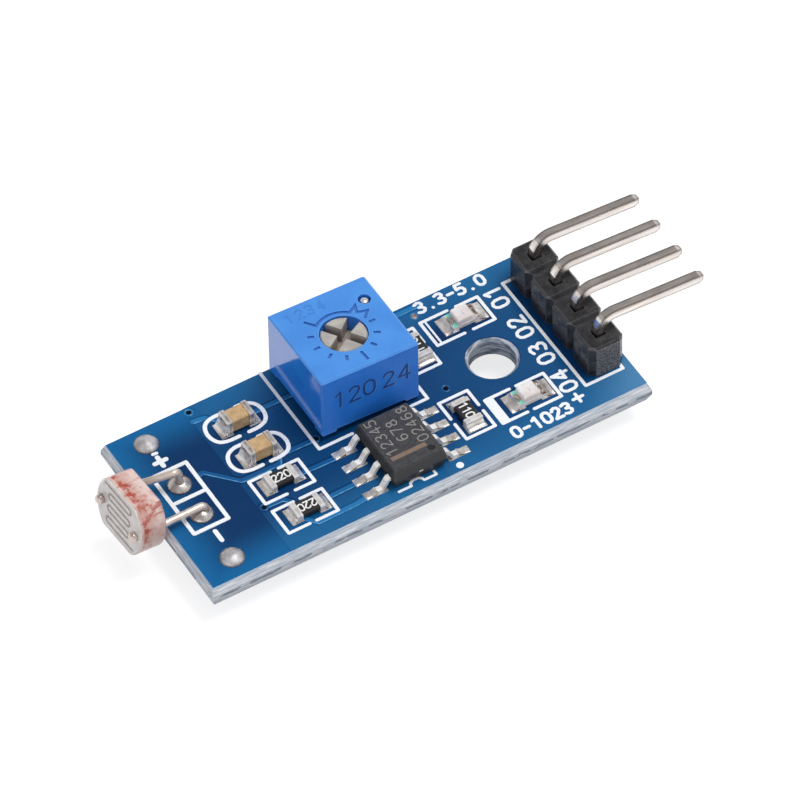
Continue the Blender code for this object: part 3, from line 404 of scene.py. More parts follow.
def add_strokes(bm, lines, width, low, high, onto=Matrix()):
    """Lay pen strokes with round ends on a plane, none level with those that it crosses."""
    for line in lines:
        for start, end in zip(line, line[1:]):
            rims = []
            top = high + next(STROKE_LIFTS)
            for x, y in {start, end}:
                for z in (low, top):
                    middle = onto @ moved(x, y, z)
                    rims += bmesh.ops.create_circle(bm, segments=PEN_SIDES, radius=width / 2,
                                                    matrix=middle)["verts"]
            bmesh.ops.convex_hull(bm, input=rims)


def add_block(bm, low, high, onto=Matrix()):
    """A box between two corners."""
    low, high = Vector(low), Vector(high)
    size = Matrix.Diagonal((*(high - low), 1.0))
    middle = onto @ Matrix.Translation((low + high) / 2)
    return bmesh.ops.create_cube(bm, size=1.0, matrix=middle @ size)["verts"]


def add_turned(bm, profile, sides, onto):
    """Turn a closed profile of radius and height about the upright line through a place."""
    verts = [bm.verts.new(onto @ Vector((r, 0.0, z))) for r, z in profile]
    edges = [bm.edges.new(pair) for pair in zip(verts, verts[1:] + verts[:1])]
    bmesh.ops.spin(bm, geom=verts + edges, cent=onto.translation, axis=onto.col[2].xyz,
                   angle=2.0 * math.pi, steps=sides, use_merge=True)


def meshed(name, bm):
    """An object from a mesh that was drawn in millimetres."""
    bmesh.ops.recalc_face_normals(bm, faces=bm.faces)
    bmesh.ops.scale(bm, vec=(MM, MM, MM), verts=bm.verts)
    mesh = bpy.data.meshes.new(name)
    bm.to_mesh(mesh)
    bm.free()
    return bpy.data.objects.new(name, mesh)


def add_piece(name, bm, finish, body="board"):
    """Turn a mesh into a piece that rides on one body."""
    piece = meshed(name, bm)
    piece.data.materials.append(finish)
    piece.data.shade_smooth()
    piece.data.set_sharp_from_angle(angle=math.radians(35.0))
    bpy.context.scene.collection.objects.link(piece)
    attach(piece, body)
    return piece


copper_finish = new_finish("mask_over_copper", "#0B4272", 0.22, levels=MASK_LEVELS,
                           shine=(900.0, 0.18, 0.28), relief=(1400.0, 0.000003))
tree, shader, place = opened(copper_finish)
# Near the cut edges the mask over the copper is lighter: a painted glow.
painted_glow = use(tree, painted_rim_glow, Place=place, Reach=0.0045)
drift = spread(tree, cloud(tree, place, 260.0, 2.0), 0.35, 0.65)
parts = split(tree, place)
along, across = parts["X"], parts["Y"]
# Lighter towards +X, and most towards the +X, -Y corner: a painted sheen and a painted reflection
# of the light on the glossy mask.
painted_sheen = spread(tree, along, 2.0 * MM, 14.0 * MM, 0.0, 0.25)
painted_corner_reflection = spread(tree, sums(tree, "ADD", along, times(tree, across, -0.4)),
              13.5 * MM, 18.6 * MM, 0.0, 0.6)
feed(shader, "Base Color", coated(tree, "#0B3F6E", (painted_glow, "#1F6598"),
                                  (times(tree, drift, 0.3), "#0D4A80"), (painted_sheen, "#2C6A9C"),
                                  (painted_corner_reflection, "#5B92BC")))

track_finish = new_finish("mask_over_tracks", "#1B5C94", 0.22, levels=MASK_LEVELS,
                          relief=(1400.0, 0.000003))
tree, shader, place = opened(track_finish)
# Near the cut edges the mask over the tracks is lighter: a painted glow.
painted_glow = use(tree, painted_rim_glow, Place=place, Reach=0.0045)
feed(shader, "Base Color", blend(tree, painted_glow, "#14548C", "#2B7CB4"))

# Thin lighter strokes along one side of each track: a painted highlight on the track's edge.
track_highlight_finish = new_finish("painted_track_highlight", "#4E92C4", 0.3, levels=MASK_LEVELS,
                          tones=(1800.0, "#2F76AC", "#6BABD6", 0.3, 0.7))


def add_pour(name, low, high, windows, rounds, tracks):
    """A sheet of copper, less its openings for parts, holes and tracks."""
    bm = bmesh.new()
    add_block(bm, low, high)
    pour = add_piece(name, bm, copper_finish)
    under, over = low[2] - 1.0, low[2] + 1.0
    cutters = []
    for low_x, low_y, high_x, high_y in windows:
        cutters.append(bmesh.new())
        add_block(cutters[-1], (low_x, low_y, under), (high_x, high_y, over))
    for x, y, radius in rounds:
        cutters.append(bmesh.new())
        bmesh.ops.create_cone(cutters[-1], cap_ends=True, segments=48, radius1=radius,
                              radius2=radius, depth=2.0,
                              matrix=moved(x, y, low[2]))
    for line in tracks:
        for pair in zip(line, line[1:]):
            cutters.append(bmesh.new())
            add_strokes(cutters[-1], (pair,), TRACK + 2 * CLEARANCE, under, over)
    openings = bpy.data.collections.new("openings")
    for number, bm in enumerate(cutters):
        openings.objects.link(meshed(f"opening_{number}", bm))
    bpy.context.scene.collection.children.link(openings)
    etch = pour.modifiers.new("etch", "BOOLEAN")
    etch.operation = "DIFFERENCE"
    etch.solver = "EXACT"
    etch.operand_type = "COLLECTION"
    etch.collection = openings
    bpy.context.view_layer.update()
    drawn = pour.evaluated_get(bpy.context.evaluated_depsgraph_get())
    etched = bpy.data.meshes.new_from_object(drawn)
    pour.modifiers.clear()
    pour.data = etched
    for cutter in list(openings.objects):
        bpy.data.objects.remove(cutter)
    bpy.data.collections.remove(openings)


via_rounds = [(x, y, VIA_RING + CLEARANCE) for x, y in VIAS]
joined_rounds = [(x, y, VIA_RING - VIA_LAP) for x, y in VIAS[3:]]
screw_round = (HOLE_X, HOLE_Y, HOLE_CLEAR)
add_pour("copper_pour", (*POUR_LOW, BOARD_TOP), (*POUR_HIGH, BOARD_TOP + COPPER), WINDOWS,
         [*via_rounds[:3], *joined_rounds, screw_round], TRACKS)
add_pour("copper_pour_under", (UNDER_LOW_X, POUR_LOW[1], -COPPER), (*POUR_HIGH, 0.0), (),
         [*via_rounds, screw_round, *UNDER_ROUNDS], UNDER_TRACKS)

bm = bmesh.new()
track_highlight_bm = bmesh.new()
via_shade_bm = bmesh.new()
topside = moved(0.0, 0.0, BOARD_TOP)
underside = Matrix.Diagonal((1.0, 1.0, -1.0, 1.0))
for face, tracks in ((topside, TRACKS), (underside, UNDER_TRACKS)):
    add_strokes(bm, tracks, TRACK, 0.0, COPPER, face)
    for line in tracks:
        highlight_line = [(x, y - TRACK / 2 + TRACK_HIGHLIGHT_IN) for x, y in line]
        add_strokes(track_highlight_bm, (highlight_line,), TRACK_HIGHLIGHT_WIDTH, 0.0, COPPER + TRACK_HIGHLIGHT_RISE, face)
    for x, y in VIAS:
        add_turned(bm, ((VIA_DRILL, 0.0), (VIA_RING, 0.0), (VIA_RING, COPPER),
                        (VIA_RING - 0.05, 2 * COPPER), (VIA_DRILL, COPPER)), 24,
                   face @ moved(x, y, 0.0))
        bmesh.ops.create_cone(via_shade_bm, cap_ends=True, segments=16, radius1=VIA_DRILL + 0.01,
                              radius2=VIA_DRILL + 0.01, depth=VIA_SHADE_HEIGHT,
                              matrix=face @ moved(x, y, VIA_SHADE_HEIGHT / 2))
add_piece("copper_tracks", bm, track_finish)
add_piece("painted_track_highlights", track_highlight_bm, track_highlight_finish)
# Each via's hole holds a near-black disc: painted shade of the open hole.
via_shade_finish = new_finish("painted_via_shade", "#020B18", 0.6, levels={"Specular IOR Level": 0.08},
                         shine=(6000.0, 0.35, 0.7))
add_piece("painted_via_shade_discs", via_shade_bm, via_shade_finish)


# Tinned pads and solder
# Bare copper pads dipped in tin. Each terminal sits in a fillet of solder that climbs its end and
# runs out over the pad, with the slightly uneven shine of solder that was reflowed in air.
PAD_THICKNESS = 0.03
CHIP_X = -0.36
CHIP_Y = -3.55
CHIP_PITCH = 1.27
CHIP_SPAN = 6.0
CHIP_PAD_WIDTH = 0.62
CHIP_PAD_OUT = 0.78
CHIP_PAD_IN = 0.8
RESISTORS = ((-7.86, -1.54, 0.0), (-7.66, -4.41, 0.0), (4.74, -3.05, 90.0), (4.85, 3.20, 90.0))
CAPACITORS = ((-7.88, 3.92, 0.0), (-7.90, 1.05, 0.0))
LAMPS = ((8.60, 3.90, 0.0), (8.82, -3.76, 0.0))
PART_LENGTH = 2.0
PART_WIDTH = 1.25
PART_PAD_REACH = 0.42
LAMP_PAD_REACH = 0.6
LAMP_PAD_WIDTH = 1.5
FILLET_RISE = 0.24
FILLET_IN = 0.06            # how much narrower than its pad a fillet is

solder_finish = new_finish("reflowed_solder", "#DAD6D2", 0.26, 0.6,
                           tones=(1500.0, "#C2BBB6", "#F0EDEA", 0.34, 0.66),
                           shine=(2400.0, 0.2, 0.34), relief=(900.0, 0.00004))


def add_fillet(bm, onto, width, run, rise):
    """Solder that climbs a terminal's end at x = 0 and runs out along +X."""
    profile = ((0.0, 0.0), (run, 0.0), (run, PAD_THICKNESS), (0.62 * run, 0.18 * rise),
               (0.32 * run, 0.42 * rise), (0.12 * run, 0.74 * rise), (0.0, rise))
    verts = [bm.verts.new(onto @ Vector((x, -width / 2, z))) for x, z in profile]
    side = bm.faces.new(verts)
    grown = bmesh.ops.extrude_face_region(bm, geom=[side])
    pulled = [item for item in grown["geom"] if isinstance(item, bmesh.types.BMVert)]
    across = onto.to_3x3() @ Vector((0.0, width, 0.0))
    bmesh.ops.translate(bm, vec=across, verts=pulled)
    rims = [edge for edge in {e for v in verts + pulled for e in v.link_edges}
            if edge.is_valid and (edge.verts[0] in verts) == (edge.verts[1] in verts)]
    bmesh.ops.bevel(bm, geom=rims, offset=0.05, segments=2, profile=0.5, affect="EDGES",
                    material=-1)


def at(x, y, turn, z=BOARD_TOP):
    """Place on the board, turned by degrees."""
    return moved(x, y, z) @ turned(turn, "Z")


pads_bm, fillets_bm = bmesh.new(), bmesh.new()
for row in range(4):
    for turn in (0.0, 180.0):
        spot = at(CHIP_X, CHIP_Y + CHIP_PITCH * (row - 1.5), turn)
        add_block(pads_bm, (CHIP_SPAN / 2 - CHIP_PAD_IN, -CHIP_PAD_WIDTH / 2, 0.0),
                  (CHIP_SPAN / 2 + CHIP_PAD_OUT, CHIP_PAD_WIDTH / 2, PAD_THICKNESS), spot)
        spot = spot @ moved(CHIP_SPAN / 2 - 0.05, 0.0, PAD_THICKNESS)
        add_fillet(fillets_bm, spot, CHIP_PAD_WIDTH - FILLET_IN, CHIP_PAD_OUT - 0.02, FILLET_RISE)
PART_JOINTS = (             # places, pad's width and reach, fillet's width and rise
    (RESISTORS, PART_WIDTH + 0.12, PART_PAD_REACH, PART_WIDTH, 0.3),
    (CAPACITORS, PART_WIDTH + 0.12, PART_PAD_REACH, PART_WIDTH, 0.72),
    (LAMPS, LAMP_PAD_WIDTH, LAMP_PAD_REACH, LAMP_PAD_WIDTH - FILLET_IN, FILLET_RISE),
)
for places, width, reach, wetted, rise in PART_JOINTS:
    for x, y, turn in places:
        for flip in (0.0, 180.0):
            spot = at(x, y, turn + flip)
            add_block(pads_bm, (PART_LENGTH / 2 - 0.4, -width / 2, 0.0),
                      (PART_LENGTH / 2 + reach, width / 2, PAD_THICKNESS), spot)
            spot = spot @ moved(PART_LENGTH / 2, 0.0, PAD_THICKNESS)
            add_fillet(fillets_bm, spot, wetted, reach - 0.04, rise)
add_piece("tinned_pads", pads_bm, solder_finish)
add_piece("solder_fillets", fillets_bm, solder_finish)


# White legend
# Epoxy ink screened over the mask: outlines round each part, polarity marks, and plain numbers
# where the board names its pins and lamps. The pen lines have round ends and slightly ragged rims.
INK_FOOT = 0.001
INK_TOP = COPPER + 0.02
FINE = 0.22
BOLD = 0.27
THIN = 0.18


def bracket(x, far_x, y, far_y):
    """Three sides of a rectangle, open at x."""
    return ((x, y), (far_x, y), (far_x, far_y), (x, far_y))


LEGEND_LINES = (            # pen width and line
    (BOLD, ((-14.62, 2.45), (-14.62, -2.43), (-12.17, -2.43), (-12.17, 2.88), (-14.62, 2.88))),
    (BOLD, ((-14.62, 0.3), (-12.17, 0.3))),
    (0.32, ((-13.9, 3.75), (-13.1, 3.75))),
    (0.32, ((-13.5, 3.35), (-13.5, 4.15))),
    (0.3, ((-13.4, -2.9), (-13.4, -3.75))),
    (FINE, ((-13.62, 4.5), (-13.36, 4.48))),
    (FINE, bracket(-8.1, -9.65, -0.6, -2.68)),
    (FINE, bracket(-7.5, -6.1, -0.6, -2.68)),
    (FINE, bracket(-8.1, -9.6, -3.42, -5.47)),
    (FINE, bracket(-7.6, -6.05, -3.42, -5.47)),
    (FINE, ((3.7, -2.85), (3.7, -1.35), (5.8, -1.35), (5.8, -2.75))),
    (FINE, ((3.7, -3.35), (3.7, -4.75), (5.8, -4.75), (5.8, -3.3))),
    (FINE, ((3.4, 2.9), (3.4, 1.45), (5.55, 1.45), (5.55, 2.95))),
    (FINE, ((3.4, 3.5), (3.4, 4.9), (5.55, 4.9), (5.55, 3.5))),
    (FINE, bracket(8.15, 6.15, 2.8, 5.0)),
    (0.14, ((6.48, 2.95), (6.48, 4.85))),
    (FINE, bracket(8.8, 10.4, 2.8, 5.0)),
    (FINE, bracket(8.1, 6.3, -4.87, -2.65)),
    (0.26, ((6.5, -4.8), (6.5, -2.7))),
    (0.26, ((6.72, -4.8), (6.72, -2.7))),
    (FINE, bracket(8.6, 10.6, -4.87, -2.65)),
    (FINE, ((-4.55, 6.75), (-4.55, -0.6), (-2.15, -0.6))),
    (FINE, ((2.1, -0.6), (3.35, -0.6), (3.35, 0.6))),
    (THIN, ((-2.1, -6.2), (-1.2, -6.2))),
    (THIN, ((-1.2, -6.2), (-1.14, -5.98), (-0.9, -5.84), (-0.5, -5.86), (-0.3, -6.02),
            (-0.26, -6.2))),
    (THIN, ((-0.26, -6.2), (0.62, -6.2), (0.62, -5.9))),
    (0.5, ((2.25, -6.35), (2.25, -6.34))),
    (FINE, ((12.9, 5.1), (12.35, 5.1), (12.35, -4.95), (15.1, -4.95), (15.1, -4.6))),
)
BRACKETS = (                # capacitor outlines, whose corners are rounded
    ((-7.55, 2.94), (-6.75, 2.94), (-6.1, 3.25), (-5.88, 4.05), (-6.1, 4.85), (-6.75, 5.16),
     (-7.3, 5.16)),
    ((-8.25, 2.94), (-9.1, 2.94), (-9.72, 3.2), (-9.98, 4.05), (-9.72, 4.88), (-9.1, 5.16),
     (-8.5, 5.16)),
    ((-7.6, 0.16), (-6.75, 0.16), (-6.1, 0.42), (-5.88, 1.2), (-6.1, 2.0), (-6.75, 2.3),
     (-7.3, 2.3)),
    ((-8.2, 0.16), (-9.1, 0.16), (-9.72, 0.42), (-9.98, 1.2), (-9.72, 2.0), (-9.1, 2.3),
     (-8.5, 2.3)),
)
PEN = {                     # strokes of each sign, in hundredths of its height
    "0": (((0, 28), (0, 72), (10, 92), (30, 100), (50, 92), (60, 72), (60, 28), (50, 8),
          (30, 0), (10, 8), (0, 28)),),
    "1": (((8, 80), (34, 100), (34, 0)),),
    "2": (((2, 78), (10, 93), (30, 100), (50, 93), (58, 75), (50, 56), (2, 0), (60, 0)),),
    "3": (((2, 90), (28, 100), (50, 92), (56, 74), (44, 57), (24, 53), (46, 47), (60, 26),
          (50, 7), (28, 0), (0, 10)),),
    "4": (((46, 0), (46, 100), (0, 30), (62, 30)),),
    "5": (((56, 100), (10, 100), (5, 55), (30, 62), (52, 53), (60, 30), (50, 8), (28, 0),
          (0, 10)),),
    "6": (((52, 92), (32, 100), (10, 80), (2, 40), (8, 10), (30, 0), (52, 8), (60, 30),
          (50, 52), (30, 60), (6, 42)),),
    "7": (((0, 100), (60, 100), (20, 0)),),
    "8": (((30, 53), (8, 64), (6, 86), (30, 100), (54, 86), (52, 64), (30, 53), (4, 40),
          (0, 16), (30, 0), (60, 16), (56, 40), (30, 53)),),
    "-": (((8, 48), (52, 48)),),
    "+": (((4, 50), (60, 50)), ((32, 22), (32, 78))),
    ".": (((30, 0), (30, 2)),),
}


def rounded(line, rounds=2):
    """A pen line with its corners cut, more finely each round."""
    for _ in range(rounds):
        cut = [line[0]]
        for start, end in zip(line, line[1:]):
            cut += [tuple(Vector(start).lerp(Vector(end), share)) for share in (0.25, 0.75)]
        line = [*cut, line[-1]]
    return line


def number_lines(text, height, advance):
    """Pen lines of a number, centred on the origin."""
    lines = []
    start = -(advance * (len(text) - 1) + 0.6) / 2
    for index, sign in enumerate(text):
        for line in PEN[sign]:
            lines.append([((start + index * advance + x / 100) * height,
                           (y / 100 - 0.5) * height) for x, y in line])
    return lines


LEGEND_NUMBERS = (          # text, x, y, degrees, height, advance
    ("3.3-5.0", 9.05, 6.12, 0.0, 0.86, 0.86),
    ("0-1023", 8.5, -5.9, 0.0, 0.86, 0.86),
    ("+", 11.4, -5.55, 90.0, 1.25, 0.9),
    ("04", 11.4, -3.9, 90.0, 1.08, 0.95),
    ("03", 11.4, -1.2, 90.0, 1.08, 0.95),
    ("02", 11.4, 1.35, 90.0, 1.08, 0.95),
    ("01", 11.4, 4.3, 90.0, 1.08, 0.95),
)

ink_finish = new_finish("legend_ink", "#F2F5F9", 0.55,
                        tones=(9000.0, "#D5DFEB", "#F3F6FA", 0.26, 0.46), relief=(5000.0, 0.00002))

bm = bmesh.new()
for width, line in LEGEND_LINES:
    add_strokes(bm, (line,), width, INK_FOOT, INK_TOP, topside)
add_strokes(bm, [rounded(line) for line in BRACKETS], BOLD, INK_FOOT, INK_TOP, topside)
add_piece("legend_outlines", bm, ink_finish)

bm = bmesh.new()
for text, x, y, turn, height, advance in LEGEND_NUMBERS:
    add_strokes(bm, number_lines(text, height, advance), FINE, INK_FOOT, INK_TOP, at(x, y, turn))
add_piece("legend_numbers", bm, ink_finish)


# Light dependent resistor
# A pressed ceramic disc with two flats, coated with a cadmium sulphide track that winds between
# two tinned electrodes under clear lacquer. Its leads run through it and end in soldered beads.
LDR_FACE = (-18.3, 0.45, 2.66)
LDR_PITCH = 8.5
LDR_YAW = 3.5
LDR_THICKNESS = 1.9
LDR_TURNS = 7
LDR_FIRST = 1.57
LDR_STEP = 0.495
LDR_REACH = (1.0, -0.92)
LDR_LINE = 0.15
LDR_ENDS = (1.75, -1.7)
LDR_BEND_STEPS = 6
ROOT = -0.02                # how deep thin marks start in the face that they lie on
SHALLOW_ROOT = -0.01

ldr_place = moved(*LDR_FACE) @ turned(LDR_YAW, "Z") @ turned(LDR_PITCH, "Y")

ceramic_finish = new_finish("lacquered_ceramic", "#D5BCB4", 0.3,
                            levels={"Coat Weight": 0.35, "Coat Roughness": 0.12},
                            relief=(2600.0, 0.00003))
tree, shader, place = opened(ceramic_finish)
local = seen_from(tree, place, ldr_place)
depth = split(tree, local)["X"]
blotches = cloud(tree, local, 900.0, 5.0)
specks = cloud(tree, local, 4200.0, 2.0)
reach = sums(tree, "ADD", times(tree, depth, 1.0 / (LDR_THICKNESS * MM)),
             times(tree, sums(tree, "SUBTRACT", blotches, 0.5), 2.1))
stain = times(tree, spread(tree, reach, 0.66, 0.26), spread(tree, depth, 0.1 * MM, 0.3 * MM))
patchy = spread(tree, cloud(tree, local, 3000.0, 5.0), 0.36, 0.62, 0.3, 1.0)
bleed = cloud(tree, stretched(tree, local, (0.2, 1.0, 1.0)), 2400.0, 4.0)
on_front = sums(tree, "LESS_THAN", depth, 0.06 * MM)
front = mottle(tree, local, 1500.0, "#DAD3D0", "#EDE8E5", 0.3, 0.7, 4.0)
feed(shader, "Base Color", coated(tree, "#E6D0C9", (spread(tree, blotches, 0.36, 0.66), "#CFA99E"),
                                  (times(tree, stain, patchy), "#B04C38"),
                                  (spread(tree, bleed, 0.58, 0.68, 0.0, 0.75), "#A9432F"),
                                  (spread(tree, specks, 0.69, 0.74), "#8E5A4E"),
                                  (on_front, front)))
dress(ceramic_finish, "ldr_disc")

track_line = [(LDR_ENDS[0], LDR_FIRST)]
for turn in range(LDR_TURNS - 1):
    z = LDR_FIRST - turn * LDR_STEP
    side_y = LDR_REACH[1] if turn % 2 == 0 else LDR_REACH[0]
    sign = -1.0 if turn % 2 == 0 else 1.0
    for i in range(LDR_BEND_STEPS + 1):
        a = math.pi * i / LDR_BEND_STEPS
        track_line.append((side_y + sign * LDR_STEP / 2 * math.sin(a),
                           z - LDR_STEP / 2 * (1.0 - math.cos(a))))
track_line.append((LDR_ENDS[1], LDR_FIRST - (LDR_TURNS - 1) * LDR_STEP))
sulphide_finish = new_finish("sulphide_track", "#8D7A73", 0.3, levels={"Coat Weight": 0.35},
                             tones=(4000.0, "#806C66", "#A08F88", 0.35, 0.65))
face_plane = ldr_place @ Matrix(((0, 0, -1, 0), (1, 0, 0, 0), (0, 1, 0, 0), (0, 0, 0, 1)))
bm = bmesh.new()
add_strokes(bm, (track_line,), LDR_LINE, ROOT, 0.008, face_plane)
add_piece("sulphide_track", bm, sulphide_finish)

lead_finish = new_finish("aged_tin", "#CFC2B9", 0.3, 0.85)
tree, shader, place = opened(lead_finish)
aged = mottle(tree, place, 800.0, "#D6C6BA", "#EADED5", 0.32, 0.68)
ahead = split(tree, place)["X"]
ahead = spread(tree, ahead, (LDR_FACE[0] + 0.02) * MM, (LDR_FACE[0] - 0.06) * MM)
feed(shader, "Base Color", blend(tree, ahead, aged, "#CDBDB6"))
dulled = spread(tree, cloud(tree, place, 1600.0), 0.3, 0.7, 0.38, 0.46)
feed(shader, "Roughness", sums(tree, "SUBTRACT", dulled, times(tree, ahead, 0.12)))
soft = put(tree, "ShaderNodeBevel", {"Radius": 0.00014}, samples=12)
feed(shader, "Normal", soft.outputs["Normal"])
dress(lead_finish, "ldr_lead", 2)
joint_finish = new_finish("hand_soldered_joint", "#C9C1BB", 0.28, 0.85,
                          tones=(700.0, "#B7ADA6", "#DAD3CE", 0.32, 0.68),
                          shine=(1500.0, 0.24, 0.36), flow=(700.0, 0.00001))
dress(joint_finish, "ldr_solder", 2)


# Spare holes
# Two plated holes near the board's corners for another sensor, which wave soldering filled with
# flat domes of solder, since dulled by handling.
dome_finish = new_finish("dulled_solder", "#A49E9A", 0.5, 0.5, shine=(2600.0, 0.42, 0.58),
                         flow=(2600.0, 0.000015))
tree, shader, place = opened(dome_finish)
dulled = mottle(tree, place, 1700.0, "#A5A1A2", "#C9C7CA", 0.34, 0.66, 4.0)
pocks = spread(tree, cloud(tree, place, 6500.0, 2.0), 0.64, 0.7)
feed(shader, "Base Color", blend(tree, times(tree, pocks, 0.7), dulled, "#DCD8D4"))
dress(dome_finish, "corner_solder", 2)


# Square trimmer
# A single-turn trimming resistor in a moulded blue case with an engraved dial. Its pale rotor has
# a screwdriver cross with one broad arm, and three terminals lead through the board.
TRIMMER_PLACE = (-0.5, 3.2)
TRIMMER_SIZE = (7.0, 6.9, 4.75)
TRIMMER_LEAN_X = -2.2
TRIMMER_LEAN_Y = 1.7
TRIMMER_TURN = -0.9
ROTOR_PLACE = (-0.12, -0.35)
WINDOW_PLACE = (2.47, 1.6)
WINDOW_DROP = 0.16
WINDOW_PIN = 0.56
WINDOW_CROWN = 0.12
SEAT_FILM = 0.02
ENGRAVED_PEN = 0.16
ROTOR_CROWN = 4.65          # height of the rotor's top above the trimmer's seat

lean = turned(TRIMMER_TURN, "Z") @ turned(TRIMMER_LEAN_Y, "Y") @ turned(TRIMMER_LEAN_X, "X")
feet = [lean @ Vector((sx * TRIMMER_SIZE[0] / 2, sy * TRIMMER_SIZE[1] / 2, 0.0))
        for sx in (-1, 1) for sy in (-1, 1)]
trimmer_rise = BOARD_TOP + SEAT_FILM - min(foot.z for foot in feet)
trimmer_place = moved(*TRIMMER_PLACE, trimmer_rise) @ lean

case_finish = new_finish("moulded_blue", "#3A87DC", 0.3,
                         levels={"IOR": 1.55, "Coat Roughness": 0.08}, relief=(2500.0, 0.000006))
tree, shader, place = opened(case_finish)
flow = spread(tree, cloud(tree, place, 500.0, 3.0), 0.3, 0.7)
# The walls are a deeper blue than the top: painted shade on the walls.
lit_top_color = blend(tree, flow, "#3B86DA", "#4490E2")
painted_shade_wall_color = blend(tree, flow, "#2377DE", "#2C80E6")
case_color = blend(tree, spread(tree, facing(tree)["Z"], 0.3, 0.8), painted_shade_wall_color, lit_top_color)
# A lighter blue along the edges: painted highlight.
case_color = edge_tinted(tree, case_color, 0.0001, 0.4, "#82B8F0")
local = split(tree, seen_from(tree, place, trimmer_place))
from_rotor = from_axis(tree, local, *ROTOR_PLACE)
in_dial = times(tree, sums(tree, "GREATER_THAN", from_rotor, 1.56 * MM),
                sums(tree, "LESS_THAN", from_rotor, 3.0 * MM))
# Inside the dial's grooves the case is darker: painted shade.
painted_groove_shade = spread(tree, local["Z"], (TRIMMER_SIZE[2] - 0.01) * MM, (TRIMMER_SIZE[2] - 0.06) * MM)
painted_groove_shade = times(tree, times(tree, painted_groove_shade, in_dial), 0.6)
feed(shader, "Base Color", blend(tree, painted_groove_shade, case_color, "#1B56A8"))
polished = spread(tree, facing(tree)["X"], -0.7, -0.95)
feed(shader, "Roughness", sums(tree, "SUBTRACT", 0.42, times(tree, polished, 0.3)))
feed(shader, "Coat Weight", times(tree, polished, 0.3))
dress(case_finish, "trimmer_housing")

rotor_finish = new_finish("rotor_plastic", "#A8A49F", 0.4, relief=(2600.0, 0.00002))
tree, shader, place = opened(rotor_finish)
local = split(tree, seen_from(tree, place, trimmer_place))["Z"]
# Below the rotor's top it turns browner: painted shade in the recesses of its cross.
painted_crevice_shade = spread(tree, local, (ROTOR_CROWN - 0.05) * MM, (ROTOR_CROWN - 0.6) * MM, 0.0, 0.6)
rotor_color = mottle(tree, place, 1200.0, "#9F9A94", "#B8B3AD", 0.3, 0.7, 4.0)
feed(shader, "Base Color", blend(tree, painted_crevice_shade, rotor_color, "#84705F"))
dress(rotor_finish, "trimmer_rotor")

dress(new_finish("seal_rubber", "#26221F", 0.7, shine=(4000.0, 0.6, 0.8)), "trimmer_seal_ring")
dress(new_finish("spring_brass", "#C79A4A", 0.28, 1.0, shine=(3000.0, 0.22, 0.36)), "trimmer_wiper")
dress(new_finish("white_alumina", "#E8E6E0", 0.6, relief=(3000.0, 0.00002)), "trimmer_element")
epoxy_finish = new_finish("base_epoxy", "#3B3A2C", 0.35, tones=(1500.0, "#2C2B20", "#4C4A39"))
dress(epoxy_finish, "trimmer_base_seal")
terminal_finish = new_finish("trimmer_terminal", "#E9E6E2", 0.2, 0.7, shine=(3000.0, 0.14, 0.28))
dress(terminal_finish, "trimmer_pin", 3)
bm = bmesh.new()
crown = [(WINDOW_PIN / 2 * math.cos(math.radians(a)), WINDOW_CROWN * math.sin(math.radians(a)))
         for a in (0.0, 20.0, 40.0, 60.0, 78.0)]
window = trimmer_place @ moved(*WINDOW_PLACE, TRIMMER_SIZE[2] - WINDOW_DROP)
add_turned(bm, [(0.02, ROOT), (WINDOW_PIN / 2, ROOT), *crown, (0.02, WINDOW_CROWN)], 24, window)
add_piece("terminal_crown", bm, terminal_finish)
dress(solder_finish, "trimmer_solder", 3)

# The numbers on the front wall are strokes: dark ones for the painted shade in their grooves, and
# lighter ones, moved towards the lit side, for the painted highlight on their rims.
engraving_shade_finish = new_finish("engraved_shade", "#0C3C86", 0.5, tones=(3000.0, "#0A3274", "#15509F"))
engraving_highlight_finish = new_finish("painted_engraving_highlight", "#6FA9EC", 0.35, tones=(3000.0, "#4F92E2", "#86B9F2"))
front_wall = trimmer_place @ moved(0.0, -TRIMMER_SIZE[1] / 2, 0.0) @ turned(90.0, "X")
shade_bm, engraving_highlight_bm = bmesh.new(), bmesh.new()
for text, x in (("120", -1.15), ("2", 1.3), ("4", 2.42)):
    lines = number_lines(text, 1.25, 0.85)
    spot = front_wall @ moved(x, 2.7, 0.0)
    lit_side = spot @ moved(0.03, -0.035, 0.0)
    add_strokes(engraving_highlight_bm, lines, ENGRAVED_PEN, ROOT, 0.004, lit_side)
    add_strokes(shade_bm, lines, ENGRAVED_PEN, ROOT, 0.01, spot)
add_piece("painted_engraving_highlights", engraving_highlight_bm, engraving_highlight_finish)
add_piece("painted_engraving_shade", shade_bm, engraving_shade_finish)
raised_finish = new_finish("raised_numbers", "#3A80D0", 0.42, tones=(3000.0, "#3478C8", "#4590E0"))
bm = bmesh.new()
top_face = trimmer_place @ moved(-1.3, 2.55, TRIMMER_SIZE[2])
add_strokes(bm, number_lines("1234", 0.75, 1.0), 0.12, ROOT, 0.02, top_face)
add_piece("raised_numbers", bm, raised_finish)


# Comparator
# An eight-lead plastic package, transfer moulded in black epoxy and marked by laser with plain
# numbers and a pale bar at its first end. Its tinned leads are formed to the board in gull wings.
CHIP_LENGTH = 4.9
CHIP_TOP = 3.17
GATE_HIGH = 2.4
DIMPLE_X = 1.2
DIMPLE_Y = -1.7
MARK_ROWS = (("12345", -1.1), ("678", 0.05), ("02468", 1.15))

package_finish = new_finish("package_plastic", "#333336", 0.5, relief=(6000.0, 0.00002))
tree, shader, place = opened(package_finish)
package = mottle(tree, place, 3800.0, "#2B2B2E", "#3E3E42", 0.3, 0.7, 5.0)
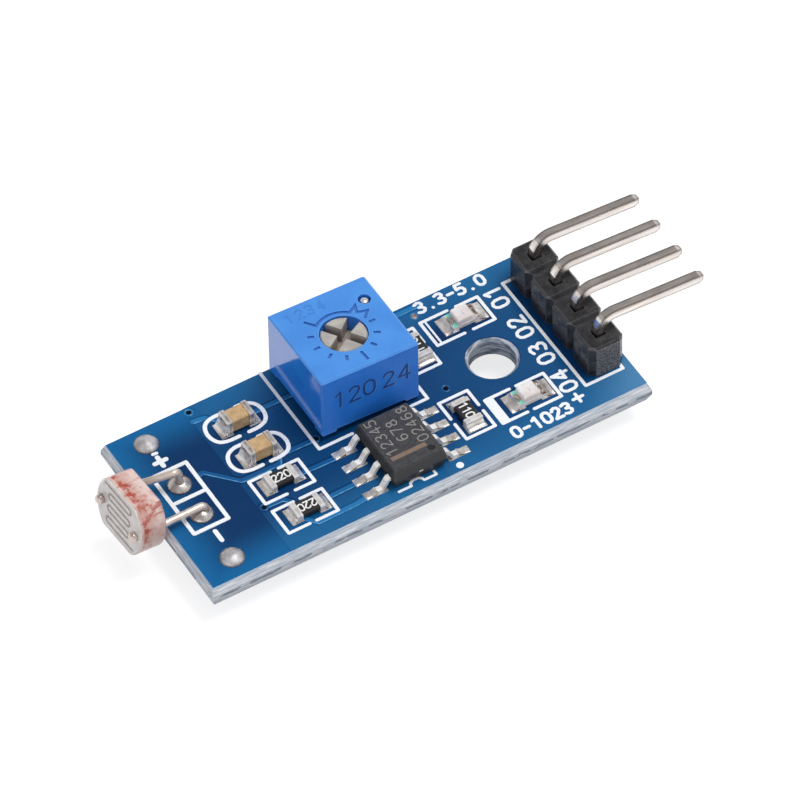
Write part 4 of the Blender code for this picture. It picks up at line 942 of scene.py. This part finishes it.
# Faces that do not face up are darker, a painted shade on the sides, and the edges are lighter, a
# painted highlight.
package = blend(tree, spread(tree, facing(tree)["Z"], 0.7, 0.95), "#1E1E20", package)
package = edge_tinted(tree, package, 0.00012, 0.45, "#66676B")
dimple = (CHIP_X + DIMPLE_X, CHIP_Y + DIMPLE_Y, CHIP_TOP)
from_dimple = put(tree, "ShaderNodeVectorMath", {0: place, 1: Vector(dimple) * MM},
                  operation="DISTANCE").outputs["Value"]
in_dimple = spread(tree, from_dimple, 0.28 * MM, 0.2 * MM)
feed(shader, "Base Color", blend(tree, in_dimple, package, "#212124"))
feed(shader, "Roughness", spread(tree, in_dimple, 0.0, 1.0, 0.5, 0.25))
dress(package_finish, "comparator_body")
plated_finish = new_finish("plated_lead", "#F6F4F1", 0.26, 0.2,
                           tones=(1300.0, "#E8E4DF", "#FDFBF8", 0.3, 0.7),
                           shine=(2600.0, 0.18, 0.32))
dress(plated_finish, "comparator_lead", 8)

chip_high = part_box("comparator_body")[1].z / MM
laser_finish = new_finish("laser_mark", "#8C8781", 0.7, tones=(6000.0, "#77726D", "#A39D95"))
bm = bmesh.new()
for text, x in MARK_ROWS:
    add_strokes(bm, number_lines(text, 0.72, 0.92), 0.075, SHALLOW_ROOT, 0.004,
                at(CHIP_X + x, CHIP_Y + 0.55, 90.0, chip_high))
add_piece("laser_numbers", bm, laser_finish)
gate_finish = new_finish("broken_gate", "#B9B4AE", 0.35, tones=(9000.0, "#6E6A66", "#EFEBE6"))
bm = bmesh.new()
gate_place = at(CHIP_X, CHIP_Y - CHIP_LENGTH / 2, 0.0, GATE_HIGH)
add_block(bm, (-0.14, -0.03, -0.05), (0.14, 0.05, 0.05), gate_place)
add_piece("gate_mark", bm, gate_finish)
bar_finish = new_finish("laser_bar", "#7C6758", 0.7, tones=(3500.0, "#6B584B", "#8E7867"))
bm = bmesh.new()
bar_place = at(CHIP_X, CHIP_Y - 1.3, 0.0, chip_high)
add_block(bm, (-1.45, -0.16, SHALLOW_ROOT), (1.05, 0.16, 0.004), bar_place)
add_piece("laser_bar", bm, bar_finish)


# Chip resistors and capacitors
# Resistors are alumina chips with a dark glaze over a printed film and a white number. Capacitors
# are fired blocks of tan ceramic. Both have wrapped, tinned ends.
RESISTOR_MARKS = (("220", 0.0), ("220", 180.0), ("110", -90.0), ("110", 90.0))
glaze_finish = new_finish("resistor_glaze", "#2A2827", 0.3, tones=(3000.0, "#1C1B1A", "#33302E"),
                          relief=(3500.0, 0.00002))
tan_finish = new_finish("capacitor_ceramic", "#CDA57A", 0.42,
                        tones=(2600.0, "#B99568", "#CBAD82", 0.3, 0.7, 4.0),
                        relief=(3000.0, 0.00002))
cap_finish = new_finish("plated_end", "#E0DDDA", 0.32, 0.32, shine=(3000.0, 0.26, 0.38),
                        relief=(2000.0, 0.000015))
tree, shader, place = opened(cap_finish)
plated = mottle(tree, place, 2200.0, "#C6C1BD", "#E4E1DF", 0.32, 0.68, 4.0)
# White along the edges: painted highlight.
feed(shader, "Base Color", edge_tinted(tree, plated, 0.00018, 0.7, "#FFFFFF"))
silvered_finish = new_finish("silvered_end", "#B5ACA4", 0.26, 0.5, shine=(2000.0, 0.2, 0.34),
                             relief=(3000.0, 0.000012))
tree, shader, place = opened(silvered_finish)
silvered = mottle(tree, place, 3000.0, "#9B9189", "#C6BEB7", 0.34, 0.66, 4.0)
# White along the edges: painted highlight.
feed(shader, "Base Color", edge_tinted(tree, silvered, 0.00018, 0.8, "#FFFFFF"))
for kind, count, middle, ends in (("resistor", 4, glaze_finish, cap_finish),
                                  ("capacitor", 2, tan_finish, silvered_finish)):
    for i in range(1, count + 1):
        dress(middle, f"{kind}_{i}_body")
        dress(ends, f"{kind}_{i}_cap_a")
        dress(ends, f"{kind}_{i}_cap_b")

print_finish = new_finish("resistor_print", "#ECECEA", 0.5,
                          tones=(7000.0, "#C9C9C7", "#F2F2F0", 0.25, 0.5))
bm = bmesh.new()
for number, (text, turn) in enumerate(RESISTOR_MARKS, 1):
    low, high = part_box(f"resistor_{number}_body")
    middle = (low + high) / 2 / MM
    add_strokes(bm, number_lines(text, 0.56, 0.78), 0.1, SHALLOW_ROOT, 0.006,
                at(middle.x, middle.y, turn, high.z / MM))
add_piece("resistor_numbers", bm, print_finish)


# Lamps
# Surface-mounted lamps: a notched substrate with plated ends and green film, a small chip of
# semiconductor with its bond wire, and a clear moulded epoxy lens over them.
NOTCH_RIM = 0.35
BOND_WIRES = (((-0.6, -0.16), (-0.42, -0.1), (-0.3, 0.02)), ((-0.1, 0.0), (0.02, 0.03)))
LENS_FLECK = ((0.03, -0.2), (0.05, -0.02), (0.02, 0.12))
substrate_finish = new_finish("lamp_substrate", "#F0ECE8", 0.4,
                              tones=(1600.0, "#E2DBD5", "#F6F3F0", 0.35, 0.65))
lens_finish = new_finish("lamp_lens", "#FBF9F8", 0.14,
                         levels={"Transmission Weight": 0.2, "IOR": 1.5},
                         tones=(1300.0, "#EFE4DF", "#FFFDFC", 0.35, 0.65),
                         shine=(2500.0, 0.1, 0.22), relief=(1500.0, 0.00001))
film_finish = new_finish("green_film", "#6CC7B4", 0.3, tones=(3000.0, "#5BBCA8", "#93DCCC"))
gold_finish = new_finish("gilt_trace", "#A9713F", 0.32, 0.5, tones=(3000.0, "#7A4B28", "#D0A070"))
tinned_finish = new_finish("lamp_terminal", "#ECE9E6", 0.24, 0.4,
                           tones=(2400.0, "#D3CDC8", "#FAF8F7", 0.36, 0.64, 4.0))
stained_finish = new_finish("stained_terminal", "#9A8578", 0.3, 0.5, relief=(2500.0, 0.00004))
tree, shader, place = opened(stained_finish)
stains = cloud(tree, place, 3600.0, 4.0)
feed(shader, "Base Color", coated(tree, "#4E3A31", (spread(tree, stains, 0.34, 0.48), "#A68A7B"),
                                  (spread(tree, stains, 0.52, 0.6), "#EDE6E0")))

fleck_finish = new_finish("lens_fleck", "#A9988E", 0.3, tones=(9000.0, "#8C7B72", "#E6DEDA"))
film_bm, gold_bm, stained_bm, tinned_bm, fleck_bm = (bmesh.new() for _ in range(5))
for number, (x, y, turn) in enumerate(LAMPS, 1):
    dress(substrate_finish, f"lamp_{number}_base")
    dress(lens_finish, f"lamp_{number}_lens")
    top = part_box(f"lamp_{number}_base")[1].z / MM
    spot = at(x, y, turn, top)
    for side in (-1.0, 1.0):
        low_y, high_y = sorted((side * 0.24, side * 0.615))
        add_block(film_bm, (-0.9, low_y, 0.0), (-0.52, high_y, 0.014), spot)
        add_block(tinned_bm, (-0.99, side * 0.48 - 0.13, 0.0),
                  (-0.93, side * 0.48 + 0.13, 0.02), spot)
        add_block(stained_bm, (0.66, low_y, 0.0), (0.985, high_y, 0.016), spot)
    rim = [(-1.0 + NOTCH_RIM * math.cos(a), NOTCH_RIM * math.sin(a))
           for a in (math.radians(15.0 * i) for i in range(-5, 6))]
    add_strokes(gold_bm, (rim,), 0.06, -0.05, 0.024, spot)
    add_strokes(gold_bm, BOND_WIRES, 0.05, 0.0, 0.018, spot)
    lens_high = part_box(f"lamp_{number}_lens")[1].z / MM
    add_strokes(fleck_bm, (LENS_FLECK,), 0.045, SHALLOW_ROOT, 0.003, at(x, y, turn, lens_high))
add_piece("lamp_film", film_bm, film_finish)
add_piece("lamp_traces", gold_bm, gold_finish)
add_piece("lamp_stained_ends", stained_bm, stained_finish)
add_piece("lamp_tinned_ends", tinned_bm, tinned_finish)
add_piece("lamp_bond_flecks", fleck_bm, fleck_finish)

bm = bmesh.new()
bmesh.ops.create_cone(bm, cap_ends=True, segments=20, radius1=PLUG_RADIUS, radius2=PLUG_RADIUS / 2,
                      depth=0.04, matrix=topside @ moved(*PLUGGED_VIA, 0.045))
add_piece("via_plug", bm, stained_finish)


# Pin header
# Four square pins, bent to a right angle and pressed through a moulded strip of black plastic
# that was cut to four sections. The pins are tinned, and soldered in their holes from below.
HEADER_END = -4.65          # past here lies the face where the strip was snapped off
header_finish = new_finish("header_plastic", "#222224", 0.34)
tree, shader, place = opened(header_finish)
base = mottle(tree, place, 2600.0, "#1D1D1F", "#28282B", 0.3, 0.7, 5.0)
snapped = sums(tree, "LESS_THAN", split(tree, place)["Y"], HEADER_END * MM)
crumbs = cloud(tree, place, 7500.0, 5.0)
torn = blend(tree, spread(tree, crumbs, 0.34, 0.66), "#303033", "#747477")
base = blend(tree, snapped, base, torn)
# Lighter along the edges: painted highlight.
feed(shader, "Base Color", edge_tinted(tree, base, 0.00016, 0.4, "#77787C"))
smooth = spread(tree, cloud(tree, place, 1800.0), 0.3, 0.7, 0.2, 0.42)
feed(shader, "Roughness", pick(tree, snapped, smooth, 0.6))
height = pick(tree, snapped, cloud(tree, place, 1400.0, 3.0), crumbs)
relief = put(tree, "ShaderNodeBump", {"Height": height, "Strength": 1.0, "Distance": 0.00005})
feed(shader, "Normal", relief.outputs["Normal"])
dress(header_finish, "header_housing")
drawn_finish = new_finish("drawn_pin", "#DED7D1", 0.2, 1.0, shine=(1200.0, 0.16, 0.25))
tree, shader, place = opened(drawn_finish)
drawn = cloud(tree, stretched(tree, place, (0.08, 1.0, 1.0)), 3600.0, 3.0)
drawn = blend(tree, spread(tree, drawn, 0.3, 0.7), "#D4CBC4", "#EBE6E2")
# The pins are darker brown along their edges.
feed(shader, "Base Color", edge_tinted(tree, drawn, 0.0003, 0.9, "#5E4C41"))
dress(drawn_finish, "header_pin", 4)
dress(solder_finish, "header_solder", 4)


# Table, light and camera
# A white table and a pale studio: one broad soft light above and to the right of the module, a
# weaker one to its left, and walls that are white below and grey above, as the metal shows.
TABLE_GLOW = 0.76
WHITE = (1.0, 1.0, 1.0, 1.0)
table_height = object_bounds()[0][2]
floor_mesh = bpy.data.meshes.new("table")
bm = bmesh.new()
bmesh.ops.create_grid(bm, x_segments=1, y_segments=1, size=3.0,
                      matrix=moved(0.0, 0.0, table_height))
bm.to_mesh(floor_mesh)
bm.free()
table = bpy.data.objects.new("table", floor_mesh)
bpy.context.scene.collection.objects.link(table)

paper = new_finish("white_paper", "#FFFFFF", 0.9,
                   levels={"Base Color": (0.4, 0.4, 0.405, 1.0), "Specular IOR Level": 0.0,
                           "Emission Color": WHITE})
tree, shader, place = opened(paper)
rays = put(tree, "ShaderNodeLightPath", {}).outputs
seen = sums(tree, "MAXIMUM", rays["Is Camera Ray"], rays["Is Glossy Ray"])
seen = sums(tree, "MAXIMUM", seen, rays["Is Transmission Ray"])
feed(shader, "Emission Strength", times(tree, seen, TABLE_GLOW))
floor_mesh.materials.append(paper)

world = bpy.data.worlds.new("studio")
world.use_nodes = True
bpy.context.scene.world = world
tree = world.node_tree
tree.nodes.clear()
rays = put(tree, "ShaderNodeLightPath", {}).outputs
seen = sums(tree, "MAXIMUM", rays["Is Camera Ray"], rays["Is Transmission Ray"])
heading = put(tree, "ShaderNodeTexCoord", {}).outputs["Generated"]
height = split(tree, heading)["Z"]
lit = blend(tree, spread(tree, height, 0.0, 0.6), (0.62, 0.62, 0.63, 1.0), (0.45, 0.45, 0.46, 1.0))
shown = blend(tree, spread(tree, height, 0.2, 0.62), WHITE, (0.34, 0.33, 0.33, 1.0))
wall = blend(tree, rays["Is Glossy Ray"], lit, shown)
sky = blend(tree, seen, wall, WHITE)
back = put(tree, "ShaderNodeBackground", {"Color": sky, "Strength": 1.0})
put(tree, "ShaderNodeOutputWorld", {"Surface": back.outputs["Background"]})

LAMPS_OVER = (              # name, place, size, watts
    ("key_light", (0.12, -0.02, 0.34), 0.18, 0.8),
    ("fill_light", (-0.24, -0.16, 0.18), 0.14, 0.17),
)
for name, spot, size, watts in LAMPS_OVER:
    light = bpy.data.lights.new(name, "AREA")
    light.shape = "SQUARE"
    light.size = size
    light.energy = watts
    lamp = bpy.data.objects.new(name, light)
    lamp.location = spot
    lamp.rotation_euler = (-Vector(spot)).to_track_quat("-Z", "Y").to_euler()
    bpy.context.scene.collection.objects.link(lamp)

CAMERA_TARGET = Vector((1.82, 0.22, 1.6)) * MM
CAMERA_AZIMUTH = -29.78
CAMERA_ELEVATION = 49.64
CAMERA_ROLL = -1.54
CAMERA_DISTANCE = 0.4656
CAMERA_LENS = 333.6
CAMERA_SENSOR = 36.0

lens = bpy.data.cameras.new("camera")
lens.lens = CAMERA_LENS
lens.sensor_width = CAMERA_SENSOR
lens.clip_start = 0.01
camera = bpy.data.objects.new("camera", lens)
aim = turned(CAMERA_AZIMUTH, "Z") @ turned(90.0 - CAMERA_ELEVATION, "X") @ turned(CAMERA_ROLL, "Z")
camera.matrix_world = moved(*CAMERA_TARGET) @ aim @ moved(0.0, 0.0, CAMERA_DISTANCE)
bpy.context.scene.collection.objects.link(camera)
bpy.context.scene.camera = camera
bpy.context.scene.view_settings.view_transform = "Standard"
